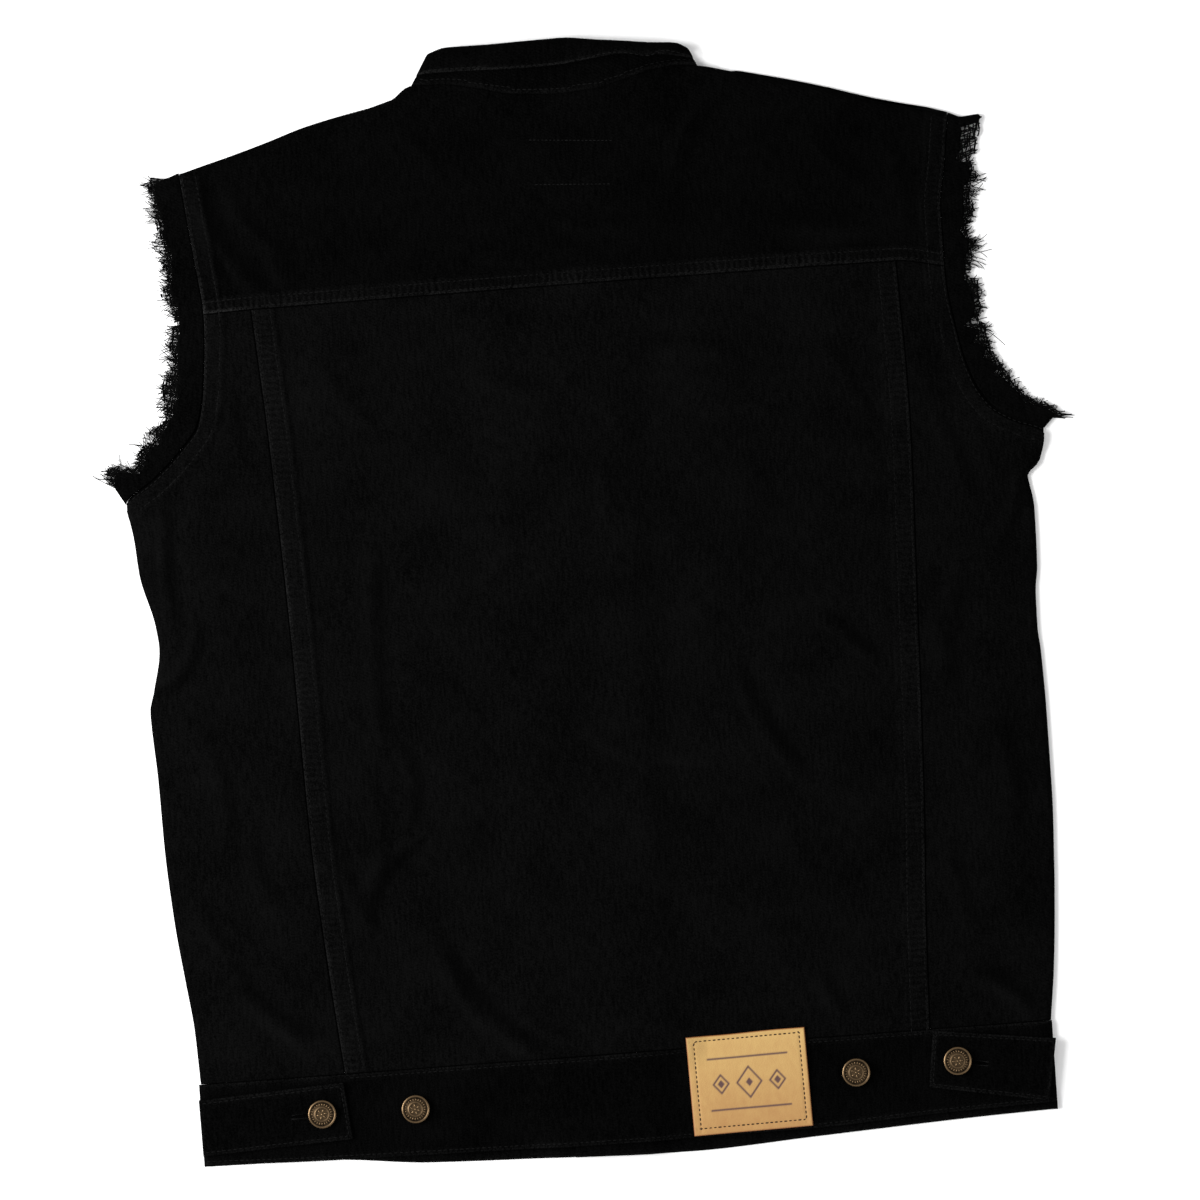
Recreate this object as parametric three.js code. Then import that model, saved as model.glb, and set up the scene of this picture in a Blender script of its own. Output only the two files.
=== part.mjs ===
// A black denim vest of the trucker cut with its sleeves cut off, lying face down, its back up.
// Millimetres. X runs across the back, Y from the hem to the collar, Z up from the surface it lies on.
// Left and right are those of someone looking down on the back.
import * as THREE from 'three';

const { lerp, smoothstep } = THREE.MathUtils;

// Cloth and clearances
const CLOTH = 1.5; // one ply of heavy denim
const DOUBLE = 2.1; // waistband, tabs and collar: two plies pressed together
const LEATHER = 1.6;
const SEAM_GAP = 0.3; // between pieces that are sewn together or lie on each other
const HALF_GAP = SEAM_GAP / 2;
const AIR = 2.0; // air between front and back, away from the edges
const FELL = 1.0; // height of a felled seam above the cloth
const FELL_STEP = 2; // width over which that height falls away
const BACK_FELL = 13.5; // widths of the felled seams
const ARM_FELL = 12;
const YOKE_FELL = 9.5;
const LONGEST_STEP = 21; // between two rows of points in a panel
const SHORTEST_STEP = 4; // between a panel's ends and its first and last rows
const PANEL_LOW = 53; // where the waistband's seam and the yoke's seam lie on average
const PANEL_HIGH = 513;
const SHOULDER_HIGH = 636; // top of the fronts at the neck
const BAND_LEFT = -255; // ends of the waistband
const BAND_RIGHT = 257;

// The front closure, hidden below
const PLACKET_X = -14;
const LEFT_FRONT_END = 5;
const RIGHT_FRONT_END = -33;
const LEFT_FRONT_TOP = 551; // where the closure ends at the neck
const RIGHT_FRONT_TOP = 556;
const NECK_OPENING = 3; // each side of the closure's middle
const HEM_TURN = 1.5;
const BUTTON_HEAD = 2.4; // thickness of the front buttons' heads
const LEAF = 2.4; // thickness of the collar's front leaves
const BUTTON_RADIUS = 8.5;
const BUTTON_BEVEL = 0.6; // by which the back of a hidden head is smaller
const BUTTON_SIDES = 20;
const FRONT_BUTTON_SIDES = 12;
const FRONT_BUTTONS = 6;
const FIRST_FRONT_BUTTON = 25;
const LAST_FRONT_BUTTON = 535;

// How what lies hidden holds the layers above it up: flat over it, and falling away beside it
const OVER_CLOSURE = { flat: 22, end: 46, widening: 1.5 }; // distances from the closure's middle
const CLOSURE_FADES = { low: 560, high: 590 }; // heights between which that ends at the neck
const OVER_LEAVES = { flat: 134, end: 166, low: 430, high: 470 };
const RIGHT_OVER_LEFT = { flat: 3, end: 21, low: 565, high: 585 };
const BACK_SPREAD = 12; // how much farther the back spreads these rises than the fronts do
const BAND_SPREAD = 3;

// Side edges below the armholes
const SIDES = [
  { y: 53, left: -255, right: 257 },
  { y: 85, left: -256.5, right: 261 },
  { y: 115, left: -260, right: 263.5 },
  { y: 149, left: -264, right: 265.5 },
  { y: 193, left: -267, right: 267 },
  { y: 235, left: -268, right: 267 },
  { y: 276, left: -270, right: 266 },
  { y: 288, left: -267, right: 265 },
  { y: 314, left: -262, right: 265.5 },
  { y: 330, left: -263.5, right: 267.5 },
  { y: 361, left: -271, right: 268 },
  { y: 384, left: -273, right: 265 },
  { y: 393, left: -274.5, right: 273 },
];

// The two long seams of the back
const BACK_SEAMS = [
  { y: 53, left: -168, right: 184 },
  { y: 115, left: -173.5, right: 186 },
  { y: 193, left: -179, right: 190 },
  { y: 314, left: -182.5, right: 194 },
  { y: 430, left: -187.5, right: 197 },
  { y: 514, left: -193, right: 195 },
];

// Each armhole from the underarm to the shoulder: its seam, the cut edge of the sleeve, the ends of the threads
const ARMHOLES = {
  left: [
    { seam: [-276, 401], raw: [-283, 413], tip: [-292, 421] },
    { seam: [-258, 416], raw: [-269, 424], tip: [-281, 433] },
    { seam: [-243, 430], raw: [-257, 436], tip: [-269, 444] },
    { seam: [-230, 447], raw: [-245, 451], tip: [-258, 457] },
    { seam: [-225, 470], raw: [-239, 471], tip: [-252, 474] },
    { seam: [-222, 512], raw: [-236, 512], tip: [-248, 513] },
    { seam: [-225, 542], raw: [-237.5, 541], tip: [-250, 543] },
    { seam: [-228, 568], raw: [-240, 567], tip: [-253, 569] },
    { seam: [-231, 597], raw: [-240, 595], tip: [-253, 597] },
  ],
  right: [
    { seam: [277, 410], raw: [283, 416], tip: [295, 416] },
    { seam: [259, 418], raw: [266, 427], tip: [276, 433] },
    { seam: [246, 427], raw: [255, 436], tip: [264, 443] },
    { seam: [236, 444], raw: [246, 450], tip: [256, 454] },
    { seam: [229.5, 468], raw: [240, 471], tip: [250, 472] },
    { seam: [224, 511], raw: [234, 512], tip: [245, 514] },
    { seam: [224, 545], raw: [233.5, 545], tip: [244, 547] },
    { seam: [228, 572], raw: [236.5, 572], tip: [248, 574] },
    { seam: [232, 602], raw: [240.5, 600], tip: [252, 602] },
  ],
};

const ARMHOLE_ROW_AT_YOKE = 5;

// The yoke in columns from left to right: x on its seam, and where its top edge lies.
// The top edge is the shoulder line at both sides, and the neck seam between the neck points.
const YOKE = [
  { seam: -222, x: -231, y: 597 },
  { seam: -210, x: -219, y: 600.5 },
  { seam: -208, x: -217, y: 601 },
  { seam: -193, x: -197, y: 606.5 },
  { seam: -170, x: -176, y: 613 },
  { seam: -148, x: -157, y: 619.5 },
  { seam: -124, x: -130, y: 626 },
  { seam: -100, x: -104, y: 631 },
  { seam: -84, x: -88, y: 640.5 },
  { seam: -66, x: -70, y: 640 },
  { seam: -47, x: -50, y: 636.5 },
  { seam: -26, x: -27, y: 631.5 },
  { seam: -2, x: -2, y: 630 },
  { seam: 20, x: 22, y: 631.5 },
  { seam: 38, x: 40, y: 636 },
  { seam: 55, x: 57, y: 640.5 },
  { seam: 70, x: 72, y: 642 },
  { seam: 84, x: 84, y: 641 },
  { seam: 108, x: 112, y: 634.5 },
  { seam: 132, x: 136, y: 628.5 },
  { seam: 154, x: 158, y: 622.5 },
  { seam: 176, x: 184, y: 614 },
  { seam: 195, x: 203, y: 609 },
  { seam: 210, x: 218, y: 605.5 },
  { seam: 212, x: 220, y: 605 },
  { seam: 224, x: 232, y: 602 },
];
const LEFT_NECK_POINT = 8; // their columns in YOKE
const RIGHT_NECK_POINT = 17;

// The collar in sections between the neck points: where its fold and its free edge lie, how high the fold
// stands above the surface, and how far the free edge stands off the collar below it
const COLLAR = [
  { fold: [-77, 659], edge: [-84, 646], rise: 7.5, lift: 0.4 },
  { fold: [-65, 662], edge: [-66, 646.5], rise: 9.5, lift: 0.5 },
  { fold: [-44, 662], edge: [-46, 646.5], rise: 10.5, lift: 0.5 },
  { fold: [-21, 662.5], edge: [-23, 646], rise: 11, lift: 0.6 },
  { fold: [3, 663], edge: [0, 647], rise: 12, lift: 0.9 },
  { fold: [24, 660.5], edge: [23, 649.5], rise: 14, lift: 2.5 },
  { fold: [41, 658.5], edge: [41, 651.5], rise: 15.5, lift: 4.5 },
  { fold: [57, 656.5], edge: [57, 650.5], rise: 15, lift: 5 },
  { fold: [71, 655.5], edge: [70, 647.5], rise: 12, lift: 3 },
  { fold: [79, 652], edge: [80, 645], rise: 8.5, lift: 0.6 },
];

// The necklines of the two fronts above the closure
const FRONT_NECK = [
  { y: 560, left: -38, right: 12 },
  { y: 575, left: -60, right: 36 },
  { y: 600, left: -77, right: 62 },
  { y: 636, left: -87, right: 80 },
];

// The collar's front leaves, from the neck point to the closure
const LEAVES = {
  left: [
    { neck: [-88, 632], free: [-113, 620] },
    { neck: [-80, 602], free: [-118, 585] },
    { neck: [-63, 577], free: [-112, 545] },
    { neck: [-41, 561], free: [-92, 514] },
    { neck: [-18, 552], free: [-64, 490] },
  ],
  right: [
    { neck: [81, 634], free: [106, 622] },
    { neck: [65, 602], free: [108, 586] },
    { neck: [39, 577], free: [88, 546] },
    { neck: [15, 561], free: [66, 514] },
    { neck: [-10, 552], free: [36, 490] },
  ],
};

// Hem lines of the waistbands
const BAND_TOP = [
  { x: -255, y: 51 },
  { x: -168, y: 51.5 },
  { x: 184, y: 54.5 },
  { x: 257, y: 55 },
];
const BACK_HEM = [
  { x: -255, y: 2.5 },
  { x: -185, y: 0.5 },
  { x: 0, y: -1 },
  { x: 110, y: 0 },
  { x: 182, y: 3.5 },
  { x: 254, y: 6 },
];
const FRONT_HEM = [
  { x: -255, y: 1.5 },
  { x: -181, y: 0.5 },
  { x: -121, y: -5 },
  { x: -34, y: -7.5 },
  { x: 35, y: -9 },
  { x: 114, y: -5 },
  { x: 211, y: 0 },
  { x: 253, y: 1.5 },
];

// What lies on the waistband
const TABS = {
  left: { side: [[-256, 8], [-256.5, 42]], end: [[-165.5, 12.5], [-169, 47]] },
  right: { side: [[252, 7], [257.5, 45]], end: [[181, 20], [185.5, 54]] },
};
const PATCH = { left: 38, right: 109.5, low: 1, high: 60.5 };
const BUTTONS = {
  button_tab_left: { x: -183, y: 29, on: 'tab' },
  button_band_left: { x: -127, y: 28, on: 'band' },
  button_band_right: { x: 138, y: 32, on: 'band' },
  button_tab_right: { x: 199, y: 35, on: 'tab' },
};
const BUTTON_PROFILE = [
  { radius: 0, height: 0 },
  { radius: 3.8, height: 0 },
  { radius: 3.6, height: 1.1 },
  { radius: 8.2, height: 1.5 },
  { radius: BUTTON_RADIUS, height: 2.4 },
  { radius: 7.9, height: 3.3 },
  { radius: 6.9, height: 3.0 },
  { radius: 3.5, height: 3.6 },
  { radius: 0, height: 3.8 },
];

// The main creases of the back: a trough from one point to another, bowed sideways, with a soft ridge beside it
const CREASES = [
  { from: [-249, 405], to: [-250, 325], bow: 3, width: 9, depth: 1.8 },
  { from: [-236, 330], to: [-264, 286], bow: -9, width: 9, depth: 1.8 },
  { from: [-125, 372], to: [-129, 240], bow: 3, width: 11, depth: 1.3 },
  { from: [-115, 185], to: [-146, 138], bow: 8, width: 12, depth: 1.9 },
  { from: [-106, 130], to: [-46, 58], bow: 8, width: 13, depth: 2.0 },
  { from: [-228, 118], to: [-177, 74], bow: 7, width: 12, depth: 1.8 },
  { from: [136, 309], to: [172, 274], bow: -3, width: 9, depth: 1.6 },
  { from: [86, 282], to: [124, 210], bow: 6, width: 10, depth: 1.7 },
  { from: [214, 90], to: [249, 60], bow: -5, width: 11, depth: 1.7 },
  { from: [124, 94], to: [138, 66], bow: 2, width: 10, depth: 1.3 },
  { from: [-218, 592], to: [-180, 522], bow: 7, width: 11, depth: 1.9 },
  { from: [-173, 555], to: [-165, 524], bow: 2, width: 12, depth: 1.2 },
  { from: [120, 552], to: [180, 545], bow: 4, width: 15, depth: 1.2 },
  { from: [262, 386], to: [246, 340], bow: -4, width: 9, depth: 1.6 },
  { from: [15, 410], to: [17, 372], bow: 0, width: 12, depth: 1.0 },
  { from: [226, 330], to: [214, 250], bow: 6, width: 14, depth: 1.2 },
];

// Threads of the cut edges
const FRINGE = {
  strip: 2.4, // width of the edge that holds the threads
  thick: 1.2,
  back: { pitch: 4.6, low: 1.9 },
  front: { pitch: 5.6, low: 0.3 },
  root: 0.56, // share of the pitch that a thread's root takes
  uneven: 0.55, // how far the lengths and directions stray
};

const COLOURS = { denim: 0x15161a, thread: 0x121214, leather: 0xd2a566, brass: 0x6f5a38 };
const denim = () => new THREE.MeshStandardMaterial({ color: COLOURS.denim, roughness: 0.95, metalness: 0 });
const thread = () => new THREE.MeshStandardMaterial({ color: COLOURS.thread, roughness: 1, metalness: 0 });
const leather = () => new THREE.MeshStandardMaterial({ color: COLOURS.leather, roughness: 0.7, metalness: 0 });
const brass = () => new THREE.MeshStandardMaterial({ color: COLOURS.brass, roughness: 0.45, metalness: 1 });

const garment = new THREE.Group();

// Lines: straight between their points, which rise in one coordinate

function readLine(line, from, to, value) {
  const last = line.length - 1;
  const next = line.findIndex((point, index) => index > 0 && (point[from] >= value || index === last));
  const a = line[next - 1];
  const b = line[next];
  const share = THREE.MathUtils.clamp((value - a[from]) / (b[from] - a[from]), 0, 1);
  return lerp(a[to], b[to], share);
}

function edgeLine(side) {
  const underarm = ARMHOLES[side][0].seam[1];
  const below = SIDES.filter((row) => row.y < underarm).map((row) => ({ y: row.y, x: row[side] }));
  const armhole = ARMHOLES[side].map((row) => ({ y: row.seam[1], x: row.seam[0] }));
  return [...below, ...armhole];
}

const EDGES = { left: edgeLine('left'), right: edgeLine('right') };
const SEAMS = {
  left: BACK_SEAMS.map((row) => ({ y: row.y, x: row.left })),
  right: BACK_SEAMS.map((row) => ({ y: row.y, x: row.right })),
};
const YOKE_SEAM = [
  { x: -222, y: 512 },
  { x: -193, y: 513 },
  { x: 195, y: 516 },
  { x: 224, y: 511 },
];
const xOn = (line, y) => readLine(line, 'y', 'x', y);
const yOn = (line, x) => readLine(line, 'x', 'y', x);

// The y values of all points of some lines between two heights, with long steps split evenly
function rowHeights(low, high, lines) {
  const heights = lines.flatMap((line) => line.map((point) => point.y));
  const inside = heights.filter((y) => y > low + SHORTEST_STEP && y < high - SHORTEST_STEP);
  const stops = [...new Set([low, ...inside, high])].sort((a, b) => a - b);
  const rows = [low];
  for (const stop of stops.slice(1)) {
    const start = rows[rows.length - 1];
    const parts = Math.max(1, Math.ceil((stop - start) / LONGEST_STEP));
    for (let part = 1; part <= parts; part += 1) rows.push(lerp(start, stop, part / parts));
  }
  return rows;
}

// Heights of the cloth above the surface

// Share of the rise over the closure, where both fronts lie on each other
function overBothFronts(x, y, spread) {
  const { flat, end, widening } = OVER_CLOSURE;
  const beside = smoothstep(Math.abs(x - PLACKET_X), flat + spread, end + spread * widening);
  return (1 - beside) * (1 - smoothstep(y, CLOSURE_FADES.low, CLOSURE_FADES.high));
}

// How far what lies below holds the cloth up: the closure's buttons and the collar's leaves
function propped(x, y, spread) {
  const { flat, end, low, high } = OVER_LEAVES;
  const acrossLeaves = 1 - smoothstep(Math.abs(x), flat + spread, end + 3 * spread);
  const leaves = acrossLeaves * smoothstep(y, low - 2 * spread, high - 2 * spread);
  return Math.max((BUTTON_HEAD + SEAM_GAP) * overBothFronts(x, y, spread), (LEAF + SEAM_GAP) * leaves);
}

// The right front passes over the left one, and what lies on both rises with it
const overLeftFront = (x) =>
  1 - smoothstep(x, LEFT_FRONT_END + RIGHT_OVER_LEFT.flat, LEFT_FRONT_END + RIGHT_OVER_LEFT.end);

function creased(x, y) {
  let height = 0;
  for (const { from, to, bow, width, depth } of CREASES) {
    const run = [to[0] - from[0], to[1] - from[1]];
    const length = Math.hypot(...run);
    const along = ((x - from[0]) * run[0] + (y - from[1]) * run[1]) / length ** 2;
    const across = ((x - from[0]) * run[1] - (y - from[1]) * run[0]) / length - bow * 4 * along * (1 - along);
    const taper = smoothstep(along, -0.15, 0.25) * (1 - smoothstep(along, 0.75, 1.15));
    const trough = Math.exp(-((across / width) ** 2));
    const ridge = 0.6 * Math.exp(-(((across - 1.7 * width) / width) ** 2));
    height += depth * taper * (ridge - trough);
  }
  return height;
}

// Underside of the back
function backUnder(x, y) {
  const held = propped(x, y, BACK_SPREAD) + (CLOTH + SEAM_GAP) * overBothFronts(x, y, BACK_SPREAD);
  const fromSides = Math.min(x - xOn(EDGES.left, y), xOn(EDGES.right, y) - x);
  const fromTop = yOn(YOKE, x) - y;
  const fromBand = y - yOn(BAND_TOP, x);
  const nearBand = lerp(0.4, 1, smoothstep(fromBand, 0, 45));
  const open = smoothstep(fromSides, 0, 32) * smoothstep(fromTop, 0, 30) * nearBand;
  const free = smoothstep(fromSides, 0, 12) * lerp(0.3, 1, smoothstep(fromBand, 10, 35));
  return CLOTH + SEAM_GAP + Math.max(held, Math.cbrt(held ** 3 + (AIR * open) ** 3) + creased(x, y) * free);
}

const bandUnder = (x) =>
  (DOUBLE + SEAM_GAP) * (1 + overBothFronts(x, 0, BAND_SPREAD)) + propped(x, 0, BAND_SPREAD);

// Share of a felled seam's height at a distance from its edge
const fell = (distance, width) => 1 - THREE.MathUtils.clamp((distance - width) / FELL_STEP, 0, 1);

// Solids

// A closed wall between two sheets of points, row by row; the first sheet is the one that faces up where the
// rows run towards +Y and the columns towards +X
function wall(upper, lower) {
  const rows = upper.length;
  const columns = upper[0].length;
  const positions = [...upper.flat(), ...lower.flat()].flat();
  const top = (row, column) => row * columns + column;
  const bottom = (row, column) => rows * columns + top(row, column);
  const index = [];
  const quad = (a, b, c, d) => index.push(a, b, c, a, c, d);
  for (let row = 0; row < rows - 1; row += 1) {
    for (let column = 0; column < columns - 1; column += 1) {
      quad(top(row, column), top(row, column + 1), top(row + 1, column + 1), top(row + 1, column));
      index.push(bottom(row, column), bottom(row + 1, column + 1), bottom(row, column + 1));
      index.push(bottom(row, column), bottom(row + 1, column), bottom(row + 1, column + 1));
    }
  }
  for (let row = 0; row < rows - 1; row += 1) {
    quad(top(row, 0), top(row + 1, 0), bottom(row + 1, 0), bottom(row, 0));
    const end = columns - 1;
    quad(top(row + 1, end), top(row, end), bottom(row, end), bottom(row + 1, end));
  }
  for (let column = 0; column < columns - 1; column += 1) {
    quad(top(0, column + 1), top(0, column), bottom(0, column), bottom(0, column + 1));
    const end = rows - 1;
    quad(top(end, column), top(end, column + 1), bottom(end, column + 1), bottom(end, column));
  }
  return solid(positions, index);
}

function solid(positions, index) {
  const geometry = new THREE.BufferGeometry();
  geometry.setAttribute('position', new THREE.Float32BufferAttribute(positions, 3));
  geometry.setIndex(index);
  geometry.computeVertexNormals();
  return geometry;
}

// A flat-lying wall over a plan of points, with its underside and thickness worked out at each point
function clothOver(plan, under, thickness) {
  const lower = plan.map((row) => row.map(([x, y]) => [x, y, under(x, y)]));
  const upper = plan.map((row) => row.map(([x, y]) => [x, y, under(x, y) + thickness(x, y)]));
  return wall(upper, lower);
}

function add(name, geometry, material) {
  const mesh = new THREE.Mesh(geometry, material);
  mesh.name = name;
  garment.add(mesh);
  return mesh;
}

// Shares of the way from one edge of a panel to the other, with columns at its felled seams
function columnShares(width, fellLeft, fellRight, count) {
  const start = fellLeft ? [0, fellLeft, fellLeft + FELL_STEP] : [0];
  const end = fellRight ? [width - fellRight - FELL_STEP, width - fellRight, width] : [width];
  const from = start[start.length - 1];
  const middle = [];
  for (let step = 1; step < count; step += 1) middle.push(lerp(from, end[0], step / count));
  return [...start, ...middle, ...end].map((offset) => offset / width);
}

// Back panels below the yoke
function backPanel(leftLine, rightLine, fells, columns) {
  const heights = rowHeights(PANEL_LOW, PANEL_HIGH, [leftLine, rightLine]);
  const last = heights.length - 1;
  const onSeam = (x) => yOn(YOKE_SEAM, x) - HALF_GAP;
  const onBand = (x) => yOn(BAND_TOP, x) + HALF_GAP;
  return heights.map((height, row) => {
    const left = xOn(leftLine, height) + HALF_GAP;
    const right = xOn(rightLine, height) - HALF_GAP;
    return columnShares(right - left, fells.left, fells.right, columns).map((share) => {
      const x = lerp(left, right, share);
      if (row === 0) return [x, onBand(x)];
      if (row === last) return [x, onSeam(x)];
      return [x, height];
    });
  });
}

function buildBack() {
  const centre = backPanel(SEAMS.left, SEAMS.right, { left: BACK_FELL, right: BACK_FELL }, 17);
  const centreThick = (x, y) => {
    const inward = Math.min(x - xOn(SEAMS.left, y), xOn(SEAMS.right, y) - x);
    return CLOTH + FELL * fell(inward, BACK_FELL);
  };
  add('back_centre', clothOver(centre, backUnder, centreThick), denim());
  const sideThick = (side) => (x, y) => {
    const inward = Math.abs(x - xOn(EDGES[side], y));
    const [underarm, above] = ARMHOLES[side].map((row) => row.seam[1]);
    return CLOTH + FELL * fell(inward, ARM_FELL) * smoothstep(y, underarm - ARM_FELL, above);
  };
  const left = backPanel(EDGES.left, SEAMS.left, { left: ARM_FELL }, 3);
  add('back_side_left', clothOver(left, backUnder, sideThick('left')), denim());
  const right = backPanel(SEAMS.right, EDGES.right, { right: ARM_FELL }, 3);
  add('back_side_right', clothOver(right, backUnder, sideThick('right')), denim());
}

// Back yoke, between the yoke seam and the shoulder line with the neck seam
function yokeEdge(side) {
  const points = ARMHOLES[side].slice(ARMHOLE_ROW_AT_YOKE).map((row) => row.seam);
  const finer = [points[0]];
  points.slice(1).forEach((point, index) => {
    const before = points[index];
    finer.push([lerp(before[0], point[0], 0.5), lerp(before[1], point[1], 0.5)], point);
  });
  return finer;
}

function buildYoke() {
  const leftEdge = yokeEdge('left');
  const rightEdge = yokeEdge('right');
  const last = leftEdge.length - 1;
  const edgeShare = (line, row) => (line[row][1] - line[0][1]) / (line[last][1] - line[0][1]);
  const plan = leftEdge.map((_, row) => YOKE.map((column, index) => {
    const across = index / (YOKE.length - 1);
    const share = lerp(edgeShare(leftEdge, row), edgeShare(rightEdge, row), across);
    const low = yOn(YOKE_SEAM, column.seam) + HALF_GAP;
    if (index === 0) return [leftEdge[row][0] + HALF_GAP, Math.max(low, leftEdge[row][1])];
    if (index === YOKE.length - 1) return [rightEdge[row][0] - HALF_GAP, Math.max(low, rightEdge[row][1])];
    return [lerp(column.seam, column.x, share), lerp(low, column.y, share)];
  }));
  const seamRow = plan[0];
  const raised = [YOKE_FELL, YOKE_FELL + FELL_STEP].map((width) => seamRow.map(([x, y], index) => {
    const above = plan[1][index];
    return [lerp(x, above[0], width / (above[1] - y)), y + width];
  }));
  plan.splice(1, 0, ...raised);
  const thick = (x, y) => {
    const inward = Math.min(x - xOn(EDGES.left, y), xOn(EDGES.right, y) - x);
    return CLOTH + FELL * Math.max(fell(y - yOn(YOKE_SEAM, x), YOKE_FELL), fell(inward, ARM_FELL));
  };
  add('back_yoke', clothOver(plan, backUnder, thick), denim());
}

// Fronts, hidden below: columns close together only where the closure lifts them
const CLOSURE_COLUMNS = [65, 53, 41, 0]; // distances from the front's edge
const LEAST_ROW = 1; // rows of a front closer than this are left out
function frontRow(outer, inner) {
  const width = Math.abs(inner - outer);
  const towards = Math.sign(inner - outer);
  const scale = Math.min(1, width / 200);
  const closure = CLOSURE_COLUMNS.map((offset) => inner - towards * offset * scale);
  return [outer, lerp(outer, closure[0], 1 / 3), lerp(outer, closure[0], 2 / 3), ...closure];
}

function frontPlan(side, end, top) {
  const left = side === 'left';
  const shoulder = left ? YOKE.slice(0, LEFT_NECK_POINT + 1) : YOKE.slice(RIGHT_NECK_POINT).reverse();
  const outline = [...EDGES[side], ...shoulder.slice(1)];
  const neck = FRONT_NECK.map((row) => ({ y: row.y, x: row[side] }));
  const corner = PLACKET_X + NECK_OPENING * (left ? -1 : 1);
  const closed = [{ y: PANEL_LOW, x: end }, { y: top, x: end }, { y: top + HEM_TURN, x: corner }];
  const inner = [...closed, ...neck];
  const stops = [...outline, ...inner].map((point) => point.y).sort((a, b) => a - b);
  const inside = stops.filter((y) => y > PANEL_LOW + LEAST_ROW * 5 && y < SHOULDER_HIGH - LEAST_ROW);
  const heights = inside.filter((y, index) => index === 0 || y - inside[index - 1] > LEAST_ROW);
  return [PANEL_LOW, ...heights, SHOULDER_HIGH].map((y, index) => {
    const row = frontRow(xOn(outline, y), xOn(inner, y));
    const across = left ? row : row.reverse();
    return across.map((x) => [x, index === 0 ? yOn(BAND_TOP, x) + HALF_GAP : y]);
  });
}

function buildFronts() {
  const thick = () => CLOTH;
  const under = (x, y) => propped(x, y, 0);
  const overUnder = (x, y) => {
    const { low, high } = RIGHT_OVER_LEFT;
    return under(x, y) + (CLOTH + SEAM_GAP) * overLeftFront(x) * (1 - smoothstep(y, low, high));
  };
  const left = frontPlan('left', LEFT_FRONT_END, LEFT_FRONT_TOP);
  const right = frontPlan('right', RIGHT_FRONT_END, RIGHT_FRONT_TOP);
  add('front_left', clothOver(left, under, thick), denim());
  add('front_right', clothOver(right, overUnder, thick), denim());
}

// Waistbands
const BAND_RISE_COLUMNS = [25, 38, 50.5]; // distances from the closure's middle, where the back one rises
function bandPlan(hem, from, to, extra) {
  const stops = [...hem, ...BAND_TOP].map((point) => point.x);
  const inside = stops.filter((x) => x > from + SHORTEST_STEP && x < to - SHORTEST_STEP);
  const columns = [...new Set([from, ...inside, ...extra, to])].sort((a, b) => a - b);
  const top = (x) => yOn(BAND_TOP, x) - HALF_GAP;
  return [0, 0.5, 1].map((share) => columns.map((x) => [x, lerp(yOn(hem, x), top(x), share)]));
}

function buildBands() {
  const thick = () => DOUBLE;
  const overClosure = BAND_RISE_COLUMNS.flatMap((offset) => [PLACKET_X - offset, PLACKET_X + offset]);
  const backPlan = bandPlan(BACK_HEM, BAND_LEFT, BAND_RIGHT, overClosure);
  add('waistband_back', clothOver(backPlan, bandUnder, thick), denim());
  const near = CLOSURE_COLUMNS.slice(0, -1);
  const leftRise = near.map((offset) => LEFT_FRONT_END - offset);
  const leftPlan = bandPlan(FRONT_HEM, BAND_LEFT, LEFT_FRONT_END, leftRise);
  add('waistband_front_left', clothOver(leftPlan, (x) => propped(x, 0, 0), thick), denim());
  const rightRise = near.map((offset) => RIGHT_FRONT_END + offset);
  const rightPlan = bandPlan(FRONT_HEM, RIGHT_FRONT_END, BAND_RIGHT, rightRise);
  const overUnder = (x) => propped(x, 0, 0) + (DOUBLE + SEAM_GAP) * overLeftFront(x);
  add('waistband_front_right', clothOver(rightPlan, overUnder, thick), denim());
}

// Tabs, patch and buttons lie on the band, and the patch reaches over its seam
const TRIM_SHARES = [0, 0.2, 0.4, 0.6, 0.8, 1];
const PATCH_ROWS = [PATCH.low, 28, 50, 55, PATCH.high];
const PATCH_LOOK = 8; // the stiff patch also clears the cloth this far to its left
const bandTop = (x) => bandUnder(x) + DOUBLE;
const underPatch = (x, y) => {
  const panel = Math.max(backUnder(x - PATCH_LOOK, y), backUnder(x, y)) + CLOTH + HALF_GAP;
  return Math.max(bandTop(x), y > yOn(BAND_TOP, x) ? panel : 0);
};

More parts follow.
